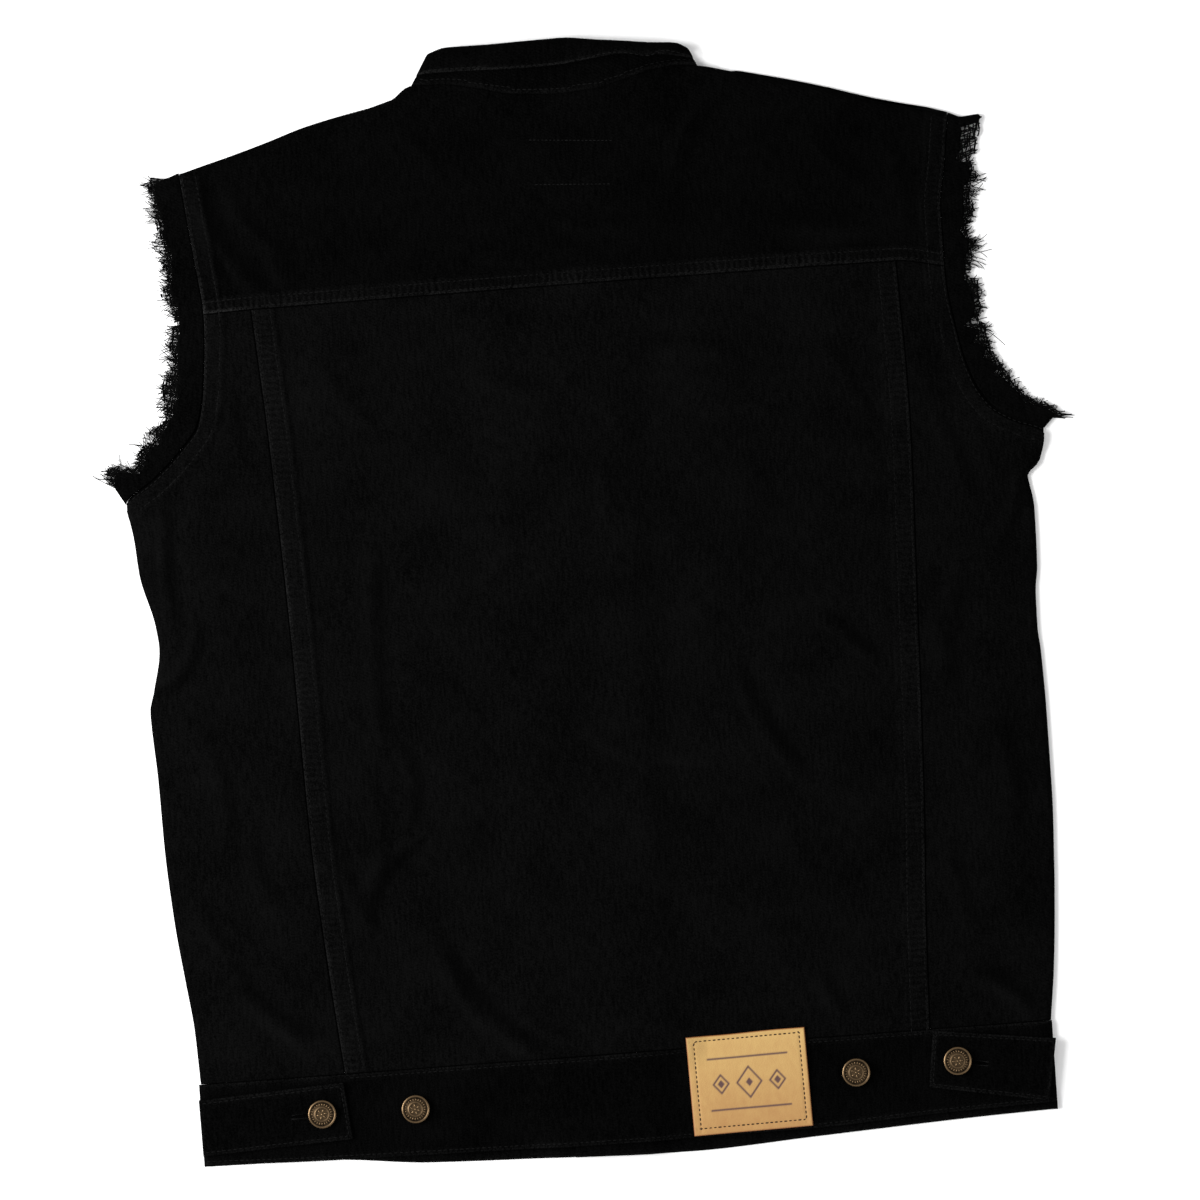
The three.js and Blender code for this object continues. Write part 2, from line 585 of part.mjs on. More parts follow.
function buildTrim() {
  for (const [side, { side: outer, end }] of Object.entries(TABS)) {
    const [from, to] = side === 'left' ? [outer, end] : [end, outer];
    const plan = [0, 0.5, 1].map((up) => TRIM_SHARES.map((share) => [
      lerp(lerp(from[0][0], from[1][0], up), lerp(to[0][0], to[1][0], up), share),
      lerp(lerp(from[0][1], from[1][1], up), lerp(to[0][1], to[1][1], up), share),
    ]));
    add(`tab_${side}`, clothOver(plan, (x) => bandTop(x) + SEAM_GAP, () => DOUBLE), denim());
  }
  const patchRow = TRIM_SHARES.map((share) => lerp(PATCH.left, PATCH.right, share));
  const patchPlan = PATCH_ROWS.map((y) => patchRow.map((x) => [x, y]));
  add('patch', clothOver(patchPlan, (x, y) => underPatch(x, y) + SEAM_GAP, () => LEATHER), leather());
  const profile = BUTTON_PROFILE.map(({ radius, height }) => new THREE.Vector2(radius, height));
  for (const [name, { x, y, on }] of Object.entries(BUTTONS)) {
    const seat = bandTop(x) + SEAM_GAP + (on === 'tab' ? DOUBLE + SEAM_GAP : 0);
    const geometry = new THREE.LatheGeometry(profile, BUTTON_SIDES);
    geometry.rotateX(Math.PI / 2);
    add(name, geometry, brass()).position.set(x, y, seat);
  }
  for (let button = 0; button < FRONT_BUTTONS; button += 1) {
    const y = lerp(FIRST_FRONT_BUTTON, LAST_FRONT_BUTTON, button / (FRONT_BUTTONS - 1));
    const back = BUTTON_RADIUS - BUTTON_BEVEL;
    const geometry = new THREE.CylinderGeometry(BUTTON_RADIUS, back, BUTTON_HEAD, FRONT_BUTTON_SIDES);
    geometry.rotateX(Math.PI / 2);
    add(`front_button_${button + 1}`, geometry, brass()).position.set(PLACKET_X, y, BUTTON_HEAD / 2);
  }
}

// Collar: from the neck seam down to the surface, round its fold and back over itself
const ROLL_STEPS = 6;
function collarSection(neck, { fold, edge, rise, lift }) {
  const radius = (rise - DOUBLE) / 2;
  const lean = new THREE.Vector2(fold[0] - neck[0], fold[1] - neck[1]);
  const reach = lean.length();
  const centre = reach - radius - DOUBLE / 2;
  const seamHeight = backUnder(...neck) + CLOTH / 2;
  const edgeShare = ((edge[0] - neck[0]) * lean.x + (edge[1] - neck[1]) * lean.y) / reach;
  const low = DOUBLE / 2 + 0.2;
  const line = [[3 * SEAM_GAP, seamHeight], [lerp(0, centre, 0.45), lerp(seamHeight, low, 0.65)]];
  for (let step = 0; step <= ROLL_STEPS; step += 1) {
    const angle = -Math.PI / 2 + (Math.PI * step) / ROLL_STEPS;
    line.push([centre + radius * Math.cos(angle), low + radius * (1 + Math.sin(angle))]);
  }
  const below = edgeShare < centre ? lerp(seamHeight, low, Math.min(1, (edgeShare / centre) * 1.3)) : low;
  const edgeHeight = Math.max(below + DOUBLE + SEAM_GAP, low + radius * 1.1) + lift;
  const last = line[line.length - 1];
  line.push([lerp(last[0], edgeShare, 0.5), lerp(last[1], edgeHeight, 0.35)], [edgeShare, edgeHeight]);
  const unit = { x: lean.x / reach, y: lean.y / reach };
  const place = (along, height) => [neck[0] + unit.x * along, neck[1] + unit.y * along, height];
  const sides = { inner: [], outer: [] };
  line.forEach((point, index) => {
    const before = line[Math.max(0, index - 1)];
    const after = line[Math.min(line.length - 1, index + 1)];
    const slope = new THREE.Vector2(after[0] - before[0], after[1] - before[1]).normalize();
    const half = DOUBLE / 2;
    sides.inner.push(place(point[0] - slope.y * half, point[1] + slope.x * half));
    sides.outer.push(place(point[0] + slope.y * half, point[1] - slope.x * half));
  });
  return sides;
}

function buildCollar() {
  const neckline = YOKE.slice(LEFT_NECK_POINT, RIGHT_NECK_POINT + 1).map(({ x, y }) => [x, y]);
  const sections = COLLAR.map((row, index) => collarSection(neckline[index], row));
  const rows = sections[0].inner.map((_, row) => row);
  const sheet = (face) => rows.map((row) => sections.map((section) => section[face][row]));
  add('collar', wall(sheet('inner'), sheet('outer')), denim());
  for (const [side, rowsOfLeaf] of Object.entries(LEAVES)) {
    const rising = [...rowsOfLeaf].reverse();
    const plan = rising.map(({ neck, free }) => (side === 'left' ? [free, neck] : [neck, free]));
    add(`collar_leaf_${side}`, clothOver(plan, () => 0, () => LEAF), denim());
  }
}

// What is left of the sleeves, and the frayed edges
const away = (from, to, distance) => {
  const length = Math.hypot(to[0] - from[0], to[1] - from[1]);
  return [0, 1].map((axis) => from[axis] + ((to[axis] - from[axis]) * distance) / length);
};

function buildSleeve(side, layer) {
  const rows = ARMHOLES[side].map(({ seam, raw }) => {
    const pair = [away(seam, raw, HALF_GAP), away(raw, seam, HALF_GAP)];
    return side === 'left' ? pair.reverse() : pair;
  });
  const under = layer === 'back' ? CLOTH + SEAM_GAP : 0;
  add(`sleeve_${layer}_${side}`, clothOver(rows, () => under, () => CLOTH), denim());
}

// A repeatable uneven value from -1 to 1
const stray = (count) => Math.sin(count * 12.9898 + 4.1) * Math.cos(count * 4.37);

// A narrow strip along the cut edge, with a four-sided thread drawn out of its outer face at each root
function buildFringe(side, layer) {
  const { pitch, low } = FRINGE[layer];
  const high = low + FRINGE.thick;
  const positions = [];
  const index = [];
  const points = [];
  const put = (x, y, z) => {
    positions.push(x, y, z);
    points.push([x, y, z]);
    return points.length - 1;
  };
  const quad = (a, b, c, d) => index.push(a, b, c, a, c, d);
  const rows = ARMHOLES[side].map(({ raw, tip }) => ({
    inner: away(raw, tip, HALF_GAP),
    outer: away(raw, tip, HALF_GAP + FRINGE.strip),
    tip,
  }));
  const station = (at) => {
    const row = Math.min(rows.length - 2, Math.floor(at));
    const mix = (key) => [0, 1].map((axis) => lerp(rows[row][key][axis], rows[row + 1][key][axis], at - row));
    return { inner: mix('inner'), outer: mix('outer'), tip: mix('tip') };
  };
  const post = (key, at) => {
    const [x, y] = station(at)[key];
    return { low: put(x, y, low), high: put(x, y, high) };
  };
  let count = layer === 'back' ? 0 : 100;
  let inner = post('inner', 0);
  let outer = post('outer', 0);
  const first = { inner, outer };
  for (let row = 0; row < rows.length - 1; row += 1) {
    const [start, end] = [rows[row].outer, rows[row + 1].outer];
    const threads = Math.round(Math.hypot(end[0] - start[0], end[1] - start[1]) / pitch);
    for (let number = 0; number < threads; number += 1) {
      count += 1;
      const rootEnd = post('outer', row + (number + FRINGE.root) / threads);
      const nextOuter = post('outer', row + (number + 1) / threads);
      const nextInner = post('inner', row + (number + 1) / threads);
      const middle = station(row + (number + FRINGE.root / 2 + 0.12 * stray(count)) / threads);
      const reach = 0.8 + 0.45 * FRINGE.uneven * stray(count * 1.7);
      const tip = put(
        lerp(middle.outer[0], middle.tip[0], reach),
        lerp(middle.outer[1], middle.tip[1], reach) + FRINGE.uneven * stray(count * 2.3),
        low + 0.35 + 0.25 * stray(count * 0.7),
      );
      quad(inner.low, inner.high, nextInner.high, nextInner.low);
      quad(rootEnd.high, rootEnd.low, nextOuter.low, nextOuter.high);
      index.push(inner.high, outer.high, rootEnd.high);
      index.push(inner.high, rootEnd.high, nextInner.high);
      index.push(rootEnd.high, nextOuter.high, nextInner.high);
      index.push(inner.low, rootEnd.low, outer.low);
      index.push(inner.low, nextInner.low, rootEnd.low);
      index.push(rootEnd.low, nextInner.low, nextOuter.low);
      index.push(outer.high, outer.low, tip);
      index.push(outer.low, rootEnd.low, tip);
      index.push(rootEnd.low, rootEnd.high, tip);
      index.push(rootEnd.high, outer.high, tip);
      inner = nextInner;
      outer = nextOuter;
    }
  }
  quad(first.inner.low, first.outer.low, first.outer.high, first.inner.high);
  quad(inner.high, outer.high, outer.low, inner.low);
  if (side === 'left') index.reverse();
  add(`fringe_${layer}_${side}`, solid(positions, index), thread());
}

buildBack();
buildYoke();
buildFronts();
buildBands();
buildTrim();
buildCollar();
for (const side of ['left', 'right']) {
  for (const layer of ['back', 'front']) {
    buildSleeve(side, layer);
    buildFringe(side, layer);
  }
}

// The origin lies in the middle of the garment's footprint, on the surface
garment.updateMatrixWorld(true);
const extent = new THREE.Box3().setFromObject(garment, true);
const middle = extent.getCenter(new THREE.Vector3());
garment.position.set(-middle.x, -middle.y, -extent.min.z);

export default garment;
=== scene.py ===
# A black denim vest of the trucker cut, its sleeves cut off and frayed, lying face down on a pale floor.
# The tables are in the garment's own millimetres: X across the back, Y from the hem to the collar, Z up from
# the floor. Left and right are those of someone looking down on the back.
import math

import bpy
import numpy as np
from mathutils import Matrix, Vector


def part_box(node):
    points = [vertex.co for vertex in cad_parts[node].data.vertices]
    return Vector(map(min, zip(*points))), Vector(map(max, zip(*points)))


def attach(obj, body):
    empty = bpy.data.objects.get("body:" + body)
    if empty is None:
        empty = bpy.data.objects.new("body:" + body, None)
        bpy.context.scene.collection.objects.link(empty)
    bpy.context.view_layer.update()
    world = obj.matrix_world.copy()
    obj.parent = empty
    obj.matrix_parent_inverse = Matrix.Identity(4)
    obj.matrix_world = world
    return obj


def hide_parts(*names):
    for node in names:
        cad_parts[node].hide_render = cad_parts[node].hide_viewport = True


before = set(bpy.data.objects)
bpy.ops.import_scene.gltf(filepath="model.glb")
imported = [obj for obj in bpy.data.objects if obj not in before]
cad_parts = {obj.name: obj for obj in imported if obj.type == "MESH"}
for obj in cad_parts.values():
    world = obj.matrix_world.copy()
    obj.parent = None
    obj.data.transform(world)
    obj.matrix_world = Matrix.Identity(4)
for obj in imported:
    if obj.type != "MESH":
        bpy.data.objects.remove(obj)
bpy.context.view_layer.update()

# Cloth and clearances
CLOTH = 1.5
DOUBLE = 2.1
LEATHER = 1.6
GAP = 0.3
AIR = 2.0
FELL = 1.0
FELL_STEP = 2
BACK_FELL = 13.5
ARM_FELL = 12
YOKE_FELL = 9.5
RIM = (0, 0.12, 0.4, 0.85, 1.5)  # distances from an outline at which its rounding has points
CELL = 3.2
FINE_CELL = 1.0
HIDDEN_CELL = 4.0
JOIN_WIDTH = 3.0  # how far in from a side seam the layers close on each other
JOIN_HEIGHT = CLOTH + GAP / 2
BAND_JOIN_HEIGHT = DOUBLE + GAP / 2

# The closure and the leaves of the collar, hidden below
PLACKET_X = -14
LEFT_FRONT_END = 5
RIGHT_FRONT_END = -33
LEFT_FRONT_TOP = 551
RIGHT_FRONT_TOP = 556
NECK_OPENING = 3
BUTTON_HEAD = 2.4
LEAF = 2.4
UNDERARM = 401
FRONT_LOW = 53  # the fronts' seam with their waistbands, at the side

# Stretches over which the back comes down from what props it up, and from its widest stand off the fronts
PLACKET_SLOPE = (22, 46)
PLACKET_END = (560, 590)
LEAF_SLOPE = (134, 166)
LEAF_START = (430, 470)
BACK_SPREAD = 12  # how much wider the back is propped up than the fronts, and the waistband
BAND_SPREAD = 3
SIDE_RISE = 32
TOP_RISE = 30
BAND_RISE = 45

SIDES = {  # y, x
    "left": [
        (53, -255), (85, -256.5), (115, -260), (149, -264), (193, -267), (235, -268), (276, -270),
        (288, -267), (314, -262), (330, -263.5), (361, -271), (384, -273), (393, -274.5),
    ],
    "right": [
        (53, 257), (85, 261), (115, 263.5), (149, 265.5), (193, 267), (235, 267), (276, 266),
        (288, 265), (314, 265.5), (330, 267.5), (361, 268), (384, 265), (393, 273),
    ],
}
BACK_SEAMS = {  # y, x
    "left": [(53, -168), (115, -173.5), (193, -179), (314, -182.5), (430, -187.5), (514, -193)],
    "right": [(53, 184), (115, 186), (193, 190), (314, 194), (430, 197), (514, 195)],
}
ARMHOLES = {  # seam, cut edge of the sleeve, ends of the threads
    "left": [
        ((-276, 401), (-283, 413), (-292, 421)),
        ((-258, 416), (-269, 424), (-281, 433)),
        ((-243, 430), (-257, 436), (-269, 444)),
        ((-230, 447), (-245, 451), (-258, 457)),
        ((-225, 470), (-239, 471), (-252, 474)),
        ((-222, 512), (-236, 512), (-248, 513)),
        ((-225, 542), (-237.5, 541), (-250, 543)),
        ((-228, 568), (-240, 567), (-253, 569)),
        ((-231, 597), (-240, 595), (-253, 597)),
    ],
    "right": [
        ((277, 410), (283, 416), (295, 416)),
        ((259, 418), (266, 427), (276, 433)),
        ((246, 427), (255, 436), (264, 443)),
        ((236, 444), (246, 450), (256, 454)),
        ((229.5, 468), (240, 471), (250, 472)),
        ((224, 511), (234, 512), (245, 514)),
        ((224, 545), (233.5, 545), (244, 547)),
        ((228, 572), (236.5, 572), (248, 574)),
        ((232, 602), (239.5, 599.8), (252, 601)),
    ],
}
YOKE = [  # x on the yoke's seam, x and y on its top edge
    (-222, -231, 597), (-210, -219, 600.5), (-193, -197, 606.5), (-170, -176, 613), (-148, -157, 619.5),
    (-124, -130, 626), (-100, -104, 631), (-84, -88, 640.5), (-66, -70, 640), (-47, -50, 636.5),
    (-26, -27, 631.5), (-2, -2, 630), (20, 22, 631.5), (38, 40, 636), (55, 57, 640.5), (70, 72, 642),
    (84, 84, 641), (108, 112, 634.5), (132, 136, 628.5), (154, 158, 622.5), (176, 184, 614), (195, 203, 609),
    (210, 218, 605.5), (224, 232, 602),
]
NECK_POINTS = (-88, 84)  # x where the collar begins and ends
YOKE_SEAM = [(-222, 512), (-193, 513), (195, 516), (224, 511)]  # x, y
COLLAR = [  # neck x, fold, free edge, height of the fold, how far the edge stands off
    (-88, (-77, 659), (-84, 646), 7.5, 0.4),
    (-70, (-65, 662), (-66, 646.5), 9.5, 0.5),
    (-50, (-44, 662), (-46, 646.5), 10.5, 0.5),
    (-27, (-21, 662.5), (-23, 646), 11, 0.6),
    (-2, (3, 663), (0, 647), 12, 0.9),
    (22, (24, 660.5), (23, 649.5), 14, 2.5),
    (40, (41, 658.5), (41, 651.5), 15.5, 4.5),
    (57, (57, 656.5), (57, 650.5), 15, 5),
    (72, (71, 655.5), (70, 647.5), 12, 3),
    (84, (79, 652), (80, 645), 8.5, 0.6),
]
FRONT_NECK = {  # y, x
    "left": [(560, -38), (575, -60), (600, -77), (636, -87)],
    "right": [(560, 12), (575, 36), (600, 62), (636, 80)],
}
LEAVES = {  # at the neck, at the free edge
    "left": [
        ((-18, 552), (-64, 490)), ((-41, 561), (-92, 514)), ((-63, 577), (-112, 545)),
        ((-80, 602), (-118, 585)), ((-88, 632), (-113, 620)),
    ],
    "right": [
        ((-10, 552), (36, 490)), ((15, 561), (66, 514)), ((39, 577), (88, 546)),
        ((65, 602), (108, 586)), ((81, 634), (106, 622)),
    ],
}
BAND_ENDS = (-256, 257.5)
BAND_TOP = [(-255, 51), (-168, 51.5), (184, 54.5), (257, 55)]  # x, y
BACK_HEM = [(-255, 2.5), (-185, 0.5), (0, -1), (110, 0), (182, 3.5), (254, 6)]
FRONT_HEM = [(-255, 1.5), (-181, 0.5), (-121, -5), (-34, -7.5), (35, -9), (114, -5), (211, 0), (253, 1.5)]
TABS = {  # low and high corner at the side seam, low and high corner of the free end
    "left": ((-256, 8), (-256.5, 42), (-165.5, 12.5), (-169, 47)),
    "right": ((252.5, 7), (259, 44.5), (181, 20), (185.5, 54)),
}
PATCH = {"left": 38, "right": 109.5, "low": 1, "high": 60.5}
BUTTONS = {  # x, y, what it sits on, how far it is turned
    "button_tab_left": (-183, 29, "tab", 12),
    "button_band_left": (-127, 28, "band", -20),
    "button_band_right": (138, 32, "band", 35),
    "button_tab_right": (199, 35, "tab", 4),
}

CREASES = [  # from, to, bow, width, depth: the large ones, as in the solids
    ((-249, 405), (-250, 325), 3, 9, 1.8),
    ((-236, 330), (-264, 286), -9, 9, 1.8),
    ((-125, 372), (-129, 240), 3, 11, 1.3),
    ((-115, 185), (-146, 138), 8, 12, 1.9),
    ((-106, 130), (-46, 58), 8, 13, 2.0),
    ((-228, 118), (-177, 74), 7, 12, 1.8),
    ((136, 309), (172, 274), -3, 9, 1.6),
    ((86, 282), (124, 210), 6, 10, 1.7),
    ((214, 90), (249, 60), -5, 11, 1.7),
    ((124, 94), (138, 66), 2, 10, 1.3),
    ((-218, 592), (-180, 522), 7, 11, 1.9),
    ((-173, 555), (-165, 524), 2, 12, 1.2),
    ((120, 552), (180, 545), 4, 15, 1.2),
    ((262, 386), (246, 340), -4, 9, 1.6),
    ((15, 410), (17, 372), 0, 12, 1.0),
    ((226, 330), (214, 250), 6, 14, 1.2),
]
FINE_CREASES = [  # from, to, bow, width, depth: the small ones between them
    ((-16, 251), (22, 224), 3, 4.5, -0.5),
    ((24, 226), (66, 220), -2, 4.5, -0.4),
    ((-87, 288), (-70, 262), 3, 5, 0.5),
    ((-120, 250), (-118, 192), -7, 6, 0.8),
    ((-140, 226), (-138, 160), -6, 6, 0.7),
    ((-160, 190), (-138, 132), 4, 6, 0.7),
    ((-96, 120), (-80, 76), 6, 5, 0.8),
    ((-62, 86), (-30, 66), 3, 5, 0.6),
    ((150, 296), (166, 282), 2, 4.5, 0.8),
    ((98, 262), (121, 218), 3, 4.5, 0.8),
    ((112, 190), (126, 150), 4, 6, 0.5),
    ((60, 330), (84, 306), 4, 6, 0.5),
    ((-60, 470), (-20, 455), 3, 8, 0.5),
    ((40, 478), (96, 470), -3, 8, 0.5),
    ((-150, 480), (-120, 440), 5, 7, 0.6),
    ((150, 470), (176, 420), -4, 7, 0.6),
    ((-205, 470), (-200, 420), 3, 6, 0.6),
    ((-232, 250), (-226, 190), -4, 7, 0.7),
    ((-210, 200), (-196, 150), 5, 7, 0.7),
    ((-246, 160), (-226, 128), 3, 6, 0.7),
    ((-200, 84), (-178, 62), 2, 5, 0.7),
    ((238, 240), (246, 170), -5, 8, 0.7),
    ((208, 170), (220, 110), 4, 7, 0.7),
    ((226, 82), (250, 70), 2, 5, 0.7),
    ((216, 420), (232, 370), -3, 7, 0.8),
    ((206, 330), (212, 280), 3, 6, 0.5),
    ((-200, 590), (-170, 548), 5, 6, 0.7),
    ((-214, 566), (-204, 528), 2, 5, 0.7),
    ((-96, 616), (-70, 580), -5, 7, 0.6),
    ((92, 616), (70, 570), 5, 8, 0.7),
    ((150, 600), (186, 566), 4, 7, 0.6),
    ((196, 590), (206, 540), -3, 6, 0.6),
    ((-10, 560), (40, 552), 3, 7, 0.4),
    ((-60, 540), (-20, 533), -2, 7, 0.4),
]

# Rows of topstitching
ROW_NEAR = 1.9  # from the edge of a felled seam to its first row
ROW_FAR = 2.3  # from its second row to where the fell ends
BAND_ROW = 2.4  # from the edges of a waistband to its rows
TAB_ROW = 2.3
COLLAR_EDGE_ROW = 2.0
COLLAR_NECK_ROW = 2.6
COLLAR_SEAM = 6  # from the collar's hidden end to its neck seam
ROW_STEP = 1.5  # between the points of a row's path
FURROW = 0.9  # half the width of the furrow that a row draws in the cloth
FELL_FURROW_DEPTH = 0.28
BAND_FURROW_DEPTH = 0.25
STITCH = {"Pitch": 3.3, "Length": 2.5, "Width": 0.62, "Height": 0.42}
LEATHER_STITCH = {"Pitch": 2.8, "Length": 2.2, "Width": 1.0, "Height": 0.6}
SATIN = {"Pitch": 0.55, "Length": 1.6, "Width": 0.5, "Height": 0.5}

patch_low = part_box("patch")[0]
SHIFT = np.array([patch_low[0] - PATCH["left"] * 0.001, patch_low[1] - PATCH["low"] * 0.001, 0])


def place(points):
    """Metres in the frame from the garment's millimetres"""
    return np.asarray(points, float) * 0.001 + SHIFT


def add_object(name, data):
    """An object in the scene for a mesh, a lamp or the lens"""
    made = bpy.data.objects.new(name, data)
    bpy.context.collection.objects.link(made)
    return made


# Camera, straight above the back and turned so that the garment leans as in the picture

VIEW_CENTRE = (4, 325)
VIEW_WIDTH = 720
CAMERA_HEIGHT = 3.4
SHARP_HEIGHT = 0.004  # height in metres at which the view is as wide as that
LEAN = 3.9

lens = bpy.data.cameras.new("camera")
lens.sensor_width = 36
lens.lens = lens.sensor_width * (CAMERA_HEIGHT - SHARP_HEIGHT) / (VIEW_WIDTH * 0.001)
camera = add_object("camera", lens)
camera.location = (*place((*VIEW_CENTRE, 0))[:2], CAMERA_HEIGHT)
camera.rotation_euler = (0, 0, -math.radians(LEAN))
bpy.context.scene.camera = camera


# Lines: tables of points that bend smoothly and never pass beyond their points

def ramp(value, low, high):
    """Share from 0 at low to 1 at high, eased at both ends"""
    share = np.clip((value - low) / (high - low), 0, 1)
    return share * share * (3 - 2 * share)


def mix(a, b, share):
    return a + (b - a) * share


def line(points, step=0.5):
    """Finely spaced places, and the smooth curve's values there, for a table of both"""
    at, value = np.array(points, float).T
    slope = np.diff(value) / np.diff(at)
    before, after = slope[:-1], slope[1:]
    same = before * after > 0
    inner = np.where(same, 2 * before * after / np.where(same, before + after, 1), 0)
    tangent = np.concatenate([slope[:1], inner, slope[-1:]])
    fine = np.append(np.arange(at[0], at[-1], step), at[-1])
    k = np.clip(np.searchsorted(at, fine, "right") - 1, 0, len(at) - 2)
    span = at[k + 1] - at[k]
    t = (fine - at[k]) / span
    smooth = (
        value[k] * (1 + 2 * t) * (1 - t) ** 2 + value[k + 1] * t * t * (3 - 2 * t)
        + span * (tangent[k] * t * (1 - t) ** 2 + tangent[k + 1] * t * t * (t - 1))
    )
    return fine, smooth


def on(a_line, at):
    """A line's value at a place"""
    return np.interp(at, *a_line)


def between_rows(values, at):
    """The values of a table read smoothly between its rows, which count from 0"""
    values = np.array(values, float)
    if values.ndim > 1:
        return np.stack([between_rows(part, at) for part in values.T], -1)
    return on(line(list(enumerate(values)), 0.02), at)


def run_along(path):
    """How far along a path each of its points is"""
    return np.append(0, np.cumsum(np.linalg.norm(np.diff(path, axis=0), axis=1)))


def read_at(where, run, path):
    """Points of a path at given distances along it"""
    return np.stack([np.interp(where, run, part) for part in path.T], -1)


def unit(vectors):
    """The same directions, 1 long"""
    return vectors / np.linalg.norm(vectors, axis=-1, keepdims=True)


INWARD = {"left": 1, "right": -1}
EDGES = {side: line(SIDES[side] + [(seam[1], seam[0]) for seam, _, _ in ARMHOLES[side]]) for side in INWARD}
SEAMS = {side: line(BACK_SEAMS[side]) for side in INWARD}
YOKE_TOP = line([(x, y) for _, x, y in YOKE])
YOKE_LOW = line(YOKE_SEAM)
BAND_HIGH = line(BAND_TOP)
HEMS = {"back": line(BACK_HEM), "front": line(FRONT_HEM)}


def armhole(side, count):
    """Seam, cut edge and thread ends of an armhole, from the underarm up, evenly along the cut edge"""
    table = np.array(ARMHOLES[side], float)
    steps = np.linspace(0, len(table) - 1, 801)
    seam, raw, tip = (between_rows(table[:, part], steps) for part in range(3))
    seam[:, 0] = on(EDGES[side], seam[:, 1])
    run = run_along(raw)
    even = np.linspace(0, run[-1], count)
    return [read_at(even, run, part) for part in (seam, raw, tip)]


SEAM_POINTS = 240
ARMHOLE_SEAMS = {side: armhole(side, SEAM_POINTS)[0] for side in INWARD}


def from_armhole(side, x, y):
    """Distance from an armhole's seam"""
    seam = ARMHOLE_SEAMS[side]
    flat = np.stack([np.ravel(x), np.ravel(y)], 1)
    near = np.inf
    for start, run in zip(seam[:-1], np.diff(seam, axis=0)):
        share = np.clip(((flat - start) @ run) / (run @ run), 0, 1)
        near = np.minimum(near, np.linalg.norm(flat - start - share[:, None] * run, axis=1))
    return near.reshape(np.shape(x))


# Heights above the floor, as in the solids

def over_both_fronts(x, y, spread):
    """Share by which the cloth at x and y lies on both fronts, where they overlap"""
    across = 1 - ramp(abs(x - PLACKET_X), PLACKET_SLOPE[0] + spread, PLACKET_SLOPE[1] + spread * 1.5)
    return across * (1 - ramp(y, *PLACKET_END))


def propped(x, y, spread):
    """How far the closure's buttons and the collar's leaves hold the cloth up"""
    across = 1 - ramp(abs(x), LEAF_SLOPE[0] + spread, LEAF_SLOPE[1] + 3 * spread)
    leaves = across * ramp(y, LEAF_START[0] - 2 * spread, LEAF_START[1] - 2 * spread)
    return np.maximum((BUTTON_HEAD + GAP) * over_both_fronts(x, y, spread), (LEAF + GAP) * leaves)


def over_left_front(x):
    """Share by which the right front at x lies on the left one"""
    return 1 - ramp(x, LEFT_FRONT_END + 3, LEFT_FRONT_END + 21)


def creased(x, y, table):
    """Troughs from point to point, bowed by so much, each with a ridge along one side"""
    height = np.zeros(np.shape(x))
    for start, end, bow, width, depth in table:
        run = np.subtract(end, start)
        length = np.hypot(*run)
        along = ((x - start[0]) * run[0] + (y - start[1]) * run[1]) / length**2
        across = ((x - start[0]) * run[1] - (y - start[1]) * run[0]) / length
        across = across - bow * 4 * along * (1 - along)
        taper = ramp(along, -0.15, 0.25) * (1 - ramp(along, 0.75, 1.15))
        trough = np.exp(-((across / width) ** 2))
        ridge = 0.6 * np.exp(-(((across - 1.7 * width) / width) ** 2))
        height = height + depth * taper * (ridge - trough)
    return height


def painted_crease_shading(x, y):
    """How far the cloth lies in a crease, to -1, or on the ridge beside it, to 1: for painted shade and
    highlight
    """
    depth = np.zeros(np.shape(x))
    for table, sharp, full in ((CREASES, 0.4, 1.7), (FINE_CREASES, 0.6, 1.0)):
        narrow = [(start, end, bow, width * sharp, deep / full) for start, end, bow, width, deep in table]
        depth = depth + creased(x, y, narrow)
    return np.clip(depth, -1, 1)


def uneven(x, y):
    """The slight unevenness of worn cloth, from -1 to 1"""
    return (
        np.sin(x / 13.1 + 1.7 * np.sin(y / 37.0)) * np.sin(y / 17.3 + 1.3 * np.sin(x / 29.0)) * 0.6
        + np.sin(x / 7.3 + y / 23.0 + 2.1) * np.sin(y / 9.1 - x / 31.0) * 0.4
    )


def back_under(x, y):
    """Underside of the back: held up, standing off the fronts by some air, and creased"""
    held = propped(x, y, BACK_SPREAD) + (CLOTH + GAP) * over_both_fronts(x, y, BACK_SPREAD)
    from_sides = np.minimum(x - on(EDGES["left"], y), on(EDGES["right"], y) - x)
    from_band = y - on(BAND_HIGH, x)
    from_top = on(YOKE_TOP, x) - y
    opened = ramp(from_sides, 0, SIDE_RISE) * ramp(from_top, 0, TOP_RISE)
    opened = opened * mix(0.4, 1, ramp(from_band, 0, BAND_RISE))
    free = ramp(from_sides, 0, 12) * mix(0.3, 1, ramp(from_band, 10, 35))
    small = free * ramp(from_top, 4, 20)
    small = small * (creased(x, y, FINE_CREASES) + 0.22 * uneven(x, y))
    relief = 0.8 * creased(x, y, CREASES) * free + small
    return CLOTH + GAP + np.maximum(held, np.cbrt(held**3 + (AIR * opened) ** 3) + relief)


def band_under(x):
    """Underside of the back's waistband, on one front's or on both"""
    return (DOUBLE + GAP) * (1 + over_both_fronts(x, 0, BAND_SPREAD)) + propped(x, 0, BAND_SPREAD)


def band_top(x):
    return band_under(x) + DOUBLE


def furrow(distance, row):
    """Share by which a row of stitches draws the cloth in"""
    return np.exp(-(((distance - row) / FURROW) ** 2))


def felled(distance, width):
    """Height of a felled seam over the cloth, drawn in along its two rows of stitches"""
    raised = FELL * (1 - ramp(distance, width - 0.5, width + FELL_STEP))
    drawn = sum(furrow(distance, row) for row in (ROW_NEAR, width - ROW_FAR))
    return raised - FELL_FURROW_DEPTH * drawn


# Grids of points and the walls made of them

